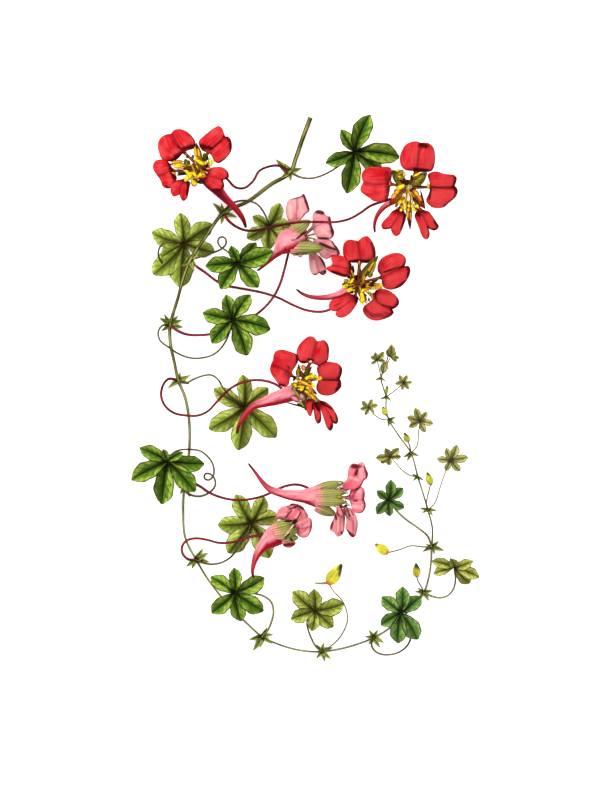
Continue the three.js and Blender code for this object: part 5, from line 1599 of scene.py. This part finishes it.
def lay_petal(flower, spec, edges, seed, depth):
    """A grid pulled over the drawn edges, raised along the petal's own line."""
    across, down, height, width, *twist = spec
    twist = math.radians(twist[0]) if twist else 0
    tip = place((across, down, height))
    radial = flower.radial(tip)
    side = radial.cross(flower.out)
    foot = flower.spring(*CLAW_FOOT, radial)
    bend = flower.spring(*flower.plan["sprung"], radial)
    spot = hoop(edges)
    neck = [spot(share, 0) for share in (0, 1)]
    if (neck[1] - neck[0]).dot(side) < 0:
        side = -side

    piece = twin(petal_grid)
    for corner, (across, along) in zip(piece.data.vertices, map_of(piece)):
        t = along
        line = foot * (1 - t) ** 2 + bend * 2 * t * (1 - t) + tip * t * t
        ahead = ((bend - foot) * (1 - t) + (tip - bend) * t).normalized()
        wide = Quaternion(ahead, twist * t) @ side
        if along > CLAW:
            blade = (along - CLAW) / (1 - CLAW)
            plan = spot(across, blade)
            lift = cushion(across, blade, depth, seed) * width * MM
            slope = (across - 0.5) * width * MM
        else:
            share = along / CLAW
            flare = max(0, (share - 0.75) / 0.25) ** 2
            straight = foot.lerp(neck[0].lerp(neck[1], 0.5), share) + side * (across - 0.5) * CLAW_WIDTH
            plan = straight.lerp(neck[0].lerp(neck[1], across), flare)
            lift = 0
            slope = (across - 0.5) * (CLAW_WIDTH + flare * (width * MM - CLAW_WIDTH))
        corner.co = (plan.x, plan.y, line.z + wide.z * slope + lift)
    paint_petal(piece, flower.name)
    modify(piece, "SOLIDIFY", thickness=PETAL_THICKNESS, offset=0)
    return piece


clear_selection()
bpy.ops.mesh.primitive_grid_add(x_subdivisions=12, y_subdivisions=16, size=1)
petal_grid = bpy.context.object
modify(petal_grid, "SUBSURF", levels=1, render_levels=1)
print("corners in one petal:", len(petal_grid.data.vertices))

# %% [markdown]
# ## The rest of the flower
# Behind the petals is the calyx: a cup whose wall runs out into the spur, and five sepals that stand in the
# gaps between the petals. In the middle are eight stamens on curved filaments round a cream ovary. The cup
# is one tube along the spur's line with its mouth pressed in, and a sepal is a blade like the others.

# %% Cut the sepals and model one anther
SEPAL = [(0, 0.72), (0.2, 0.92), (0.42, 1), (0.65, 0.84), (0.85, 0.46), (1, 0.04)]
SEPAL_ROOT = -0.4  # in front of the throat, in millimetres
SEPAL_INSET = 1.4
CUP_DEPTH = 1.5
LIP = 0.5 * MM
ANTHER_SIZE = (0.85 * MM, 0.6 * MM, 1.5 * MM)
GROOVE = 0.3 * MM

# Where the sepals end, if they are spread: across, down, how far above the throat, half width and finish.
SEPALS = {
    "bloom_1": [
        (197, 144.5, 2.5, 1.5, "gold"), (208, 153, 2, 1.2, "lime"), (193, 186, 1.5, 1.1, "gold"),
        (178, 176, 0.5, 0.9, "gold"), (171, 165, 1.5, 1.2, "gold"),
    ],
    "bloom_2": [
        (392, 172, 1.5, 2.3, "lime"), (426, 174, 1.5, 2.4, "lime"), (389.5, 205, 2.2, 1.9, "flame"),
        (424, 209, 2.2, 1.5, "flame"), (409.5, 228.5, 2.5, 1.3, "gold"),
    ],
    "bloom_3": [
        (377, 257, 3.5, 1.7, "lime"), (346, 268, 2, 1.1, "gold"), (382, 286, 1, 1.2, "gold"),
        (366, 303, 2, 1.4, "gold"), (342, 285, 1, 1.3, "lime"),
    ],
    "bloom_4": [
        (298, 365, 2, 1.2, "lime"), (311, 367, -1, 1.1, "lime"), (316, 394, -3, 1.2, "gold"),
        (313, 402, 0, 1.4, "gold"), (305, 409, -3, 1.7, "olive"),
    ],
}
# The lobes round a cupped flower: across, down and how far above the throat, of root and tip, and half width.
LOBES = {
    "bloom_5": [
        (290, 233, 5, 309, 221, 6, 2.8), (291, 248.5, 5.6, 322, 249, 8, 2.8),
        (288, 234, 0, 283, 227, -1, 1.2), (294, 250, -2, 298, 254, -4, 1.4), (300, 242, -4, 308, 240, -6, 1),
    ],
    "bloom_6": [
        (316, 489, 3.2, 342, 482, 4.5, 2.2), (316, 494, 5, 344.5, 492.5, 7, 2.1),
        (316, 501, 5, 345.5, 502, 7, 2.1), (316, 507, 3.2, 335, 515, 2.5, 2.4),
        (318, 498, -4, 338, 500, -5, 2.4),
    ],
    "bloom_7": [
        (272, 529, 4.2, 294, 522.5, 6.5, 2.6), (275, 535, 5, 296.5, 531, 7, 2.4),
        (281, 536, 4.6, 297.5, 538, 5, 2.2), (276, 530, -3, 290, 521, -1, 2), (280, 536, -4, 293, 543, -4, 2),
    ],
}
# Where the anthers of the open flowers are.
ANTHERS = {
    "bloom_1": [
        (204, 164), (197, 160.5), (191, 175), (187, 179), (203, 175), (195, 184), (211, 163), (179, 166.5),
    ],
    "bloom_2": [
        (396, 206), (400, 203), (404.5, 208), (410, 205), (413, 210), (417, 207), (401, 210), (408, 211),
    ],
    "bloom_3": [
        (347, 281.5), (345.5, 286.5), (350, 290), (362, 296), (361.5, 301.5), (373, 288), (366, 290),
        (379, 285.5),
    ],
    "bloom_4": [
        (312, 376), (318.5, 378.5), (302, 388), (309, 391.5), (314.5, 397), (312, 385), (294, 384),
        (306, 379),
    ],
}

sepal = cut_blade(
    "sepal", SEPAL, 6, lambda off, along: 0.3 * off * off - 0.12 * math.exp(-((off / 0.3) ** 2)), 0.16
)

clear_selection()
bpy.ops.mesh.primitive_uv_sphere_add(segments=12, ring_count=8, radius=1)
anther = bpy.context.object
bpy.ops.object.mode_set(mode="EDIT")
bpy.ops.mesh.select_all(action="SELECT")
bpy.ops.transform.resize(value=ANTHER_SIZE)
bpy.ops.object.mode_set(mode="OBJECT")
for corner in anther.data.vertices:
    corner.co.y -= GROOVE * math.exp(-((corner.co.x / GROOVE) ** 2)) * math.copysign(1, corner.co.y)
print("corners in one anther:", len(anther.data.vertices))


# %% Model the cup with its spur, and lay the sepals
def grow_cup(name, flower):
    """The cup and its spur, with its mouth pressed in."""
    plan = flower.plan
    behind = flower.mouth - flower.out * CUP_DEPTH * MM
    line = flowing([flower.mouth, behind, *map(place, plan["spur"])], 0.6 * MM)
    skin = "calyx_crimson" if name == "bloom_1" else "calyx_pink"
    cup = grow_tube(name + "_cup", line, [radius * MM for radius in plan["spur_radii"]], 18, skin)
    bpy.ops.object.mode_set(mode="EDIT")
    bpy.ops.mesh.select_all(action="DESELECT")
    mesh = bmesh.from_edit_mesh(cup.data)
    bpy.ops.mesh.select_mode(type="FACE")
    for face in mesh.faces:
        near = (face.calc_center_median() - flower.mouth).length < plan["spur_radii"][0] * MM
        face.select_set(near and face.normal.dot(flower.out) > 0.95)
    bmesh.update_edit_mesh(cup.data)
    bpy.ops.mesh.dissolve_faces()
    for inset, sink in ((LIP, 1.2 * MM), (2 * LIP, 1 * MM)):
        bpy.ops.mesh.inset(thickness=inset)
        bpy.ops.transform.translate(value=-flower.out * sink)
    bpy.ops.mesh.select_mode(type="VERT")
    bpy.ops.object.mode_set(mode="OBJECT")
    return cup


def lay_sepal(root, tip, facing, half, skin):
    """A sepal from its root to its tip, half as wide as given in millimetres, whose face looks to facing."""
    length = (tip - root).length
    ahead = (tip - root).normalized()
    side = ahead.cross(facing).normalized()
    normal = side.cross(ahead)
    wide = half * MM

    def move(corner):
        return root + ahead * corner.y * length + side * corner.x * wide + normal * corner.z * wide

    return dress(reshaped(sepal, move), skin)


def grow_sepals(name, flower):
    """Five sepals: spread between the petals of an open flower, or lobes round the rim of a cupped one."""
    laid = []
    lift = flower.plan["throat"][2]
    for across, down, rise, half, colour in SEPALS.get(name, []):
        tip = place((across, down, lift + rise))
        root = flower.spring(SEPAL_ROOT, flower.plan["spur_radii"][0] - SEPAL_INSET, flower.radial(tip))
        laid.append(lay_sepal(root, tip, flower.out, half, "sepal_" + colour))
    for lobe in LOBES.get(name, []):
        root, tip = (place((*spot[:2], lift + spot[2])) for spot in (lobe[:3], lobe[3:6]))
        inward = (flower.mouth - root).normalized() * 0.5 - UP * math.copysign(0.8, lobe[2] - 0.1)
        laid.append(lay_sepal(root, tip, inward, lobe[6], "sepal_olive"))
    return laid


# %% [markdown]
# The heart of an open flower is a tangle: fringes of the claws, ribs, filaments and dark gaps between them.
# One rounded lump with a striped finish would do from afar. Here each fringe is a short thread of its own,
# thick in its middle, laid from one plan point to another above the throat. The shade in the gaps is painted
# too, as dark and mauve threads laid in the same way.

# %% Grow the threads in the hearts of the flowers
THREAD_HEIGHTS = {"bloom_5": 7, "bloom_6": 6, "bloom_7": 7.4}  # above the throat
USUAL_THREAD_HEIGHT = 3.9
THREAD_FULLNESS = 1.25
THREAD_SWELL = (0.45, 0.95, 1, 0.95, 0.45)
# The dark and mauve threads are painted shade in the gaps between the fringes.
THREAD_SKINS = {
    "gold": "filament_gold", "yellow": "anther_yellow", "brown": "filament_brown", "dark": "throat_dark",
    "cream": "anther_cream",
}  # the other kinds are finishes of the heart
# Kind, from across and down, to across and down, and half width, all on the plan.
THREADS = {
    "bloom_1": [
        ("gold", 195, 162, 199, 171, 0.8), ("brown", 193.3, 162, 197.3, 171, 0.8),
        ("gold", 191.5, 165, 196, 175, 0.8), ("brown", 189.5, 166.5, 194, 175, 0.9),
        ("brown", 199, 166, 206, 168.5, 0.7), ("green", 185.5, 160, 187.5, 167, 1.9),
        ("green", 193, 155.5, 193.3, 160, 1.2), ("green", 204.5, 154, 205.5, 160, 1.6),
        ("gold", 174, 164.5, 184, 165.5, 1.3), ("gold", 176, 167, 185, 168.3, 1),
        ("cream", 173.5, 168.3, 178.5, 171, 0.9), ("flame", 175.5, 171.8, 184, 172.3, 0.9),
        ("dark", 178, 174, 188, 174.5, 1.2), ("flame", 199.5, 178.3, 207, 177.3, 1),
        ("cream", 205, 172.5, 209, 174, 0.8), ("flame", 206.5, 169.3, 211, 169, 0.9),
        ("brown", 184, 183.5, 189, 180.5, 0.9), ("gold", 193, 178, 200, 178.5, 1.4),
        ("olive", 200, 169, 203, 173, 1.4), ("dark", 187, 156, 188, 159, 1),
        ("dark", 207.5, 156, 207.7, 161, 1), ("brown", 188.5, 161, 190, 165, 1.1),
        ("yellow", 197, 161, 205, 165.5, 2.5), ("yellow", 186, 171, 191.5, 177.5, 2.3),
        ("yellow", 199.5, 174, 202.5, 177.5, 1.8), ("yellow", 194, 182, 196, 186, 2.1),
        ("yellow", 188, 179.5, 194, 177.5, 1.4), ("lime", 210, 159, 211, 167, 1.6),
        ("dark", 196.5, 181.5, 203, 184, 1.3), ("gold", 195, 148, 196.5, 158, 1.4),
        ("gold", 198.5, 150, 199.5, 158, 1.2), ("yellow", 192, 172, 197, 178, 1.8),
        ("yellow", 196, 178, 201, 176, 1.6), ("gold", 172, 163, 184, 162, 1.4),
        ("yellow", 173, 165.5, 184, 166.5, 1.3), ("cream", 173, 168.5, 184, 170, 1),
        ("brown", 174, 171, 186, 173, 1.1), ("flame", 172.5, 173, 177, 175, 1),
        ("flame", 199, 178, 207, 176.5, 1.3), ("gold", 201, 173, 207, 172, 1),
        ("dark", 199, 181.5, 206, 183, 1.8), ("yellow", 192, 181, 197, 186, 2.6),
    ],
    "bloom_2": [
        ("yellow", 396, 172, 399, 171, 1.3), ("gold", 397, 175.5, 401, 179, 1.8),
        ("lime", 403, 173, 404, 178, 1.4), ("dark", 403, 180, 407, 186, 2),
        ("dark", 399.5, 181, 404, 184, 1.3), ("dark", 411, 176, 411, 181, 1),
        ("yellow", 404, 186, 396, 190, 2.6), ("gold", 399, 190, 394, 195, 2.6),
        ("flame", 395.5, 194, 391.5, 200, 2.2), ("gold", 413, 191, 418, 197, 2.2),
        ("flame", 417.5, 196, 421.5, 203, 2), ("red", 421, 202, 423, 208, 1.7),
        ("dark", 420, 191, 424.5, 209, 0.9), ("dark", 411, 195, 420, 207, 0.7),
        ("cream", 404, 194, 404, 199, 2.3), ("cream", 408, 194.5, 408.5, 203, 2.1),
        ("lime", 402, 199.5, 403.5, 205, 2.2), ("gold", 400, 206, 404, 211, 1.3),
        ("olive", 402, 207, 407, 211, 1.1), ("yellow", 407, 205, 410, 208, 1.6),
        ("yellow", 411, 208, 416.5, 212, 1), ("brown", 409, 211, 412, 214, 0.9),
        ("brown", 413.5, 207.5, 418, 211.5, 0.8), ("lime", 413, 205, 415, 207, 1.2),
        ("green", 395, 207.5, 398, 204, 1.1), ("flame", 395.5, 209.5, 399, 208.5, 0.9),
        ("brown", 397.5, 209.8, 400.5, 207, 0.8), ("gold", 407, 211, 407.5, 219, 1.3),
        ("gold", 410, 212, 410.2, 221, 1.2), ("brown", 408.7, 212, 408.8, 222, 0.7),
        ("dark", 409.2, 221, 409.3, 227.5, 1.1), ("yellow", 408, 187.5, 409.5, 189, 1.2),
        ("dark", 409.5, 190.5, 411, 192.5, 1), ("olive", 416, 183, 422, 181, 1.5),
        ("olive", 396, 177, 403, 171, 2), ("yellow", 398, 176, 402, 173.5, 1.2),
        ("green", 394.5, 179, 399, 181.5, 1), ("olive", 415, 182.5, 423.5, 176, 2.2),
        ("yellow", 413, 177, 420, 174, 1.2), ("green", 414, 185, 422, 184, 0.9),
        ("dark", 412.5, 187, 425, 187.3, 0.9), ("red", 391.5, 199, 392.5, 206, 1.3),
        ("flame", 389.5, 182, 389, 187, 1.3), ("gold", 427, 184, 428.5, 190, 1.2),
    ],
    "bloom_3": [
        ("gold", 366, 275, 374, 261.5, 1.1), ("gold", 362, 283, 367, 273, 1.1),
        ("olive", 370, 276, 376, 262, 1.4), ("green", 369, 277.5, 371.5, 272, 2.1),
        ("brown", 360, 268, 360.5, 281, 1), ("brown", 363.5, 280, 371, 266, 0.9),
        ("flame", 358.5, 265, 359.3, 261, 1), ("dark", 352.5, 266, 353.5, 274, 1.1),
        ("gold", 347, 271, 351, 277.5, 0.9), ("gold", 351, 270.5, 354, 278, 1.1),
        ("dark", 345.5, 273, 350, 279, 1.5), ("yellow", 350, 283.5, 354, 278, 1.5),
        ("gold", 344.5, 280, 347.5, 283, 1.9), ("lime", 345, 285.5, 349, 285.5, 2),
        ("dark", 344.5, 288, 350.5, 287.7, 0.8), ("brown", 354, 282, 360, 284.5, 2.1),
        ("brown", 358, 279, 361, 286, 1.7), ("gold", 360, 286, 364.5, 281, 1),
        ("dark", 361, 289.5, 365.5, 284.5, 1.2), ("yellow", 360.5, 294, 364, 288.5, 1.5),
        ("gold", 363, 290, 369, 289.5, 2), ("yellow", 365, 291.5, 369, 291, 1.3),
        ("yellow", 365, 287.3, 368, 287.2, 0.9), ("olive", 369, 288.5, 372, 288.5, 1.3),
        ("dark", 368, 285.2, 375, 285.2, 1.6), ("dark", 371, 283, 378, 280, 1),
        ("olive", 376, 285, 380, 285, 1.4), ("flame", 372, 288, 383, 288.3, 0.9),
        ("gold", 369.5, 292, 369.5, 296, 1), ("flame", 371.5, 293, 372.3, 300, 1.2),
        ("brown", 368.5, 298, 369, 302, 0.9), ("brown", 373.3, 293, 374, 300, 1),
        ("yellow", 362, 297, 363, 303, 3), ("cream", 365.5, 301, 367.5, 303, 1),
        ("dark", 363, 295, 367, 296, 1), ("lime", 352, 290, 355, 291, 1.4),
        ("brown", 350.5, 286, 351, 291.5, 0.8), ("dark", 350, 292.5, 353.5, 293, 1),
    ],
    "bloom_4": [
        ("flame", 303, 365, 304, 371, 1.9), ("cream", 300, 365, 299.8, 367, 1),
        ("brown", 306, 368, 310.5, 363, 1), ("cream", 309, 362.5, 312, 361, 1),
        ("green", 305, 375, 308, 370.5, 2.1), ("dark", 306, 376.3, 310, 370, 1),
        ("olive", 298, 369, 298, 377, 1.9), ("gold", 298, 375, 297, 380, 1.3),
        ("brown", 301.5, 371, 302.5, 378, 1.3), ("dark", 293.5, 381, 295.5, 376, 1.1),
        ("yellow", 293.5, 383.5, 297, 388, 2), ("olive", 292.5, 387, 295.5, 391, 1.9),
        ("yellow", 297.5, 386.5, 305, 386.5, 1.1), ("cream", 297.5, 389.3, 303.5, 389.2, 0.9),
        ("brown", 297, 391.3, 306, 391.8, 0.9), ("gold", 298, 384, 305, 383.5, 1.3),
        ("brown", 299, 381, 311, 380, 1.5), ("flame", 306, 381.8, 312, 382, 1.1),
        ("brown", 304, 384, 311, 384, 0.9), ("yellow", 306, 377, 310, 376.5, 1.2),
        ("gold", 306.5, 378.3, 311.5, 378.5, 1), ("lime", 311, 375.8, 317, 377, 1.9),
        ("olive", 312.5, 379, 316, 380, 1.4), ("flame", 318.5, 376.5, 320, 379.5, 1.3),
        ("gold", 306, 387, 310, 389, 2.2), ("yellow", 304.5, 391, 309, 393, 1.3),
        ("gold", 307, 391, 312, 397, 1.5), ("flame", 309, 386, 312, 389, 1.2),
        ("olive", 308, 395, 311, 399, 1.3), ("flame", 312, 395, 313.5, 398, 1.2),
        ("brown", 314, 395, 316.5, 400, 1.1), ("olive", 316, 399, 320, 401.5, 1.2),
        ("cream", 298.5, 400.5, 303.5, 406.5, 1.2), ("dark", 297, 403.5, 305.5, 408.5, 1),
        ("green", 298.5, 395, 299.5, 400, 1.1), ("brown", 301, 394, 305, 404, 0.9),
        ("mauve", 300.5, 394, 304.5, 401, 2.4), ("olive", 294, 389, 302, 401, 1.1),
        ("rose", 291, 396, 300, 402, 2.2), ("olive", 298, 399.5, 305, 408, 1.1),
        ("gold", 306, 391, 317, 401, 1.7), ("yellow", 305, 392, 312, 396, 1.3),
        ("gold", 297, 380, 311, 386, 1.8), ("yellow", 308, 376, 318, 377.5, 1.5),
        ("dark", 287, 402.5, 303, 407, 0.7), ("olive", 308, 374.5, 313, 373.5, 1.1),
    ],
    "bloom_5": [
        ("dark", 296, 239.5, 307, 231, 0.8), ("mauve", 291, 240.5, 296, 240, 0.6),
        ("green", 291, 254, 318, 253.5, 1),
    ],
    "bloom_6": [
        ("rose", 338, 506, 342, 517, 2.6), ("mauve", 345, 506, 349, 519, 1.8),
        ("rose", 349, 510, 353, 518, 1.6), ("red", 343.5, 506, 346.5, 517, 0.9),
        ("cream", 338, 482, 342, 483, 1.2), ("cream", 340, 487, 343, 486, 1),
        ("olive", 336, 493, 341.5, 494.5, 1.5), ("olive", 337, 497, 342, 496, 1.4),
        ("dark", 342, 489, 350, 489.3, 0.7), ("cream", 343, 498, 346, 501, 1.2),
        ("cream", 344, 491, 348, 494, 1.2), ("dark", 344, 506, 347.5, 505, 1.1),
        ("brown", 340, 505.5, 344, 507.5, 1), ("cream", 346, 503, 350, 506, 1),
    ],
    "bloom_7": [
        ("cream", 285, 536, 294, 524, 1.1), ("brown", 284, 539, 290, 533, 0.8),
        ("dark", 293, 523.5, 297, 519, 1.8), ("dark", 284, 521, 293, 520.5, 1),
        ("brown", 290, 538, 293, 541, 1),
    ],
}


def grow_thread(flower, kind, ends, half, rise):
    """A short thread, thick in its middle, that lies a little above the throat."""
    height = flower.plan["throat"][2] + rise + chance.uniform(-0.25, 0.25)
    near, far = place((*ends[:2], height)), place((*ends[2:], height + 0.3))
    length = (far - near).length
    line = flowing([near, near.lerp(far, 0.5) + UP * 0.12 * length, far], length / 6)
    radii = [share * half * GRID for share in THREAD_SWELL]
    return grow_tube("thread", line, radii, 6, THREAD_SKINS.get(kind, "heart_" + kind))


print("threads drawn:", sum(map(len, THREADS.values())))

# %% Grow the stamens and the ovary
STAMENS = 8
STAMEN_FOOT = (2.2, 0.8)
OVARY_RADIUS = 1.45 * MM
OVARY_SEAT = 2.2
STYLE_FOOT = 2.6
STYLE_RADII = [0.34 * MM, 0.22 * MM]
FILAMENT_RADII = [0.42 * MM, 0.34 * MM, 0.3 * MM]
FILAMENT_STEP = 0.7 * MM
ANTHER_SIZES = {"bloom_2": 0.7}
CUPPED_ANTHER_SIZE = 0.6


def grow_stamen(foot, top, out, thread, skin, size):
    """A filament that leaves along out and arches over, with its anther."""
    reach = top - foot
    middle = foot + reach * 0.45 + out * reach.length * 0.16
    parts = [grow_tube("filament", flowing([foot, middle, top], FILAMENT_STEP), FILAMENT_RADII, 6, thread)]
    turn = (reach.normalized() - out * 0.3).to_track_quat("Z", "Y")
    parts.append(dress(reshaped(anther, lambda corner: top + turn @ corner * size), skin))
    return parts


def grow_stamens(name, flower):
    """Eight stamens round a three-lobed ovary with its style."""
    length, spread = flower.plan["stamen"]
    low, other = (flower.radial(place(spec[:3])) for spec in flower.plan["wedges"])
    droop = (low + other) * 0.14
    parts = []
    for k in range(STAMENS):
        if name in ANTHERS:
            top = place((*ANTHERS[name][k], flower.plan["throat"][2] + chance.uniform(3.4, 5.4)))
            foot = flower.spring(*STAMEN_FOOT, flower.radial(top))
            looks = "filament_gold", "anther_yellow", ANTHER_SIZES.get(name, 1)
        else:
            radial = flower.radial_at((k + 0.5 + chance.uniform(-0.2, 0.2)) * math.tau / STAMENS)
            ahead = (flower.leaning(radial, spread * chance.uniform(0.75, 1.2)) + droop).normalized()
            foot = flower.spring(*STAMEN_FOOT, radial)
            top = foot + ahead * length * chance.uniform(0.5, 0.7) * MM
            looks = "anther_cream", "anther_cream", CUPPED_ANTHER_SIZE
        parts += grow_stamen(foot, top, flower.out, *looks)
    clear_selection()
    bpy.ops.mesh.primitive_ico_sphere_add(subdivisions=3, radius=OVARY_RADIUS)
    ovary = bpy.context.object
    turn = flower.out.to_track_quat("Z", "Y")
    for corner in ovary.data.vertices:
        lobe = 1 + 0.16 * math.cos(3 * math.atan2(corner.co.y, corner.co.x))
        flat = Vector((corner.co.x * lobe, corner.co.y * lobe, corner.co.z * 0.8))
        corner.co = flower.middle + flower.out * OVARY_SEAT * MM + turn @ flat
    parts.append(dress(ovary, "ovary_cream" if name == "bloom_2" else "heart_olive"))
    low, high = (flower.spring(forward, 0, flower.out) for forward in (STYLE_FOOT, STYLE_FOOT + 0.6 * length))
    style = flowing([low, high + droop * 2 * MM], FILAMENT_STEP)
    parts.append(grow_tube("style", style, STYLE_RADII, 6, "ovary_cream"))
    rise = THREAD_HEIGHTS.get(name, USUAL_THREAD_HEIGHT)
    for kind, *ends, half in THREADS[name]:
        parts.append(grow_thread(flower, kind, ends, half * THREAD_FULLNESS, rise))
    return parts


# %% Grow the seven flowers
STALK_RADII = [0.56 * MM, 0.48 * MM, 0.56 * MM]
PETAL_SKINS = {"bloom_5": "petal_pink", "bloom_6": "petal_rose", "bloom_7": "petal_rose"}
BROAD_DEPTH, WEDGE_DEPTH, CUPPED_DEPTH = 0.15, 0.12, 0.1  # how far blades swell, in shares of their width

for name, plan in BLOOMS.items():
    flower = Flower(name, plan)
    route = flowing([place(NODES[plan["node"]]), *map(place, plan["stalk"])], STALK_STEP)
    stalk = joined(name + "_pedicel", [grow_tube(name, route, STALK_RADII, 10, "flower_stalk")])
    lay_on_table(stalk)
    put_on_stem(stalk, name + "_stalk")
    cup = joined(name + "_cup", [grow_cup(name, flower), *grow_sepals(name, flower)])
    put_on_stem(cup, name + "_calyx")
    laid = []
    for k, (spec, edges) in enumerate(zip(plan["petals"] + plan["wedges"], PETAL_EDGES[name])):
        depth = CUPPED_DEPTH if name in LOBES else BROAD_DEPTH if k < 3 else WEDGE_DEPTH
        petal = lay_petal(flower, spec, edges, k * 1.7, depth)
        laid.append(dress(petal, PETAL_SKINS.get(name, "petal_scarlet")))
    put_on_stem(joined(name + "_corolla", laid), name + "_petals")
    put_on_stem(joined(name + "_heart", grow_stamens(name, flower)), name + "_stamens")
put_away(petal_grid, sepal, anther)
print("flowers grown:", len(BLOOMS))

# %% [markdown]
# ## Measure
# The pieces are meant to fill the same box as the solids. Both boxes are printed, so that they can be
# compared after each change.

# %% Print the sizes and finish
made_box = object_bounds()
sizes = {"cad": [list(corner) for corner in cad_box], "visual": [list(corner) for corner in made_box]}
for label, (low, high) in sizes.items():
    print(label, [round(value / MM, 1) for value in low], [round(value / MM, 1) for value in high])
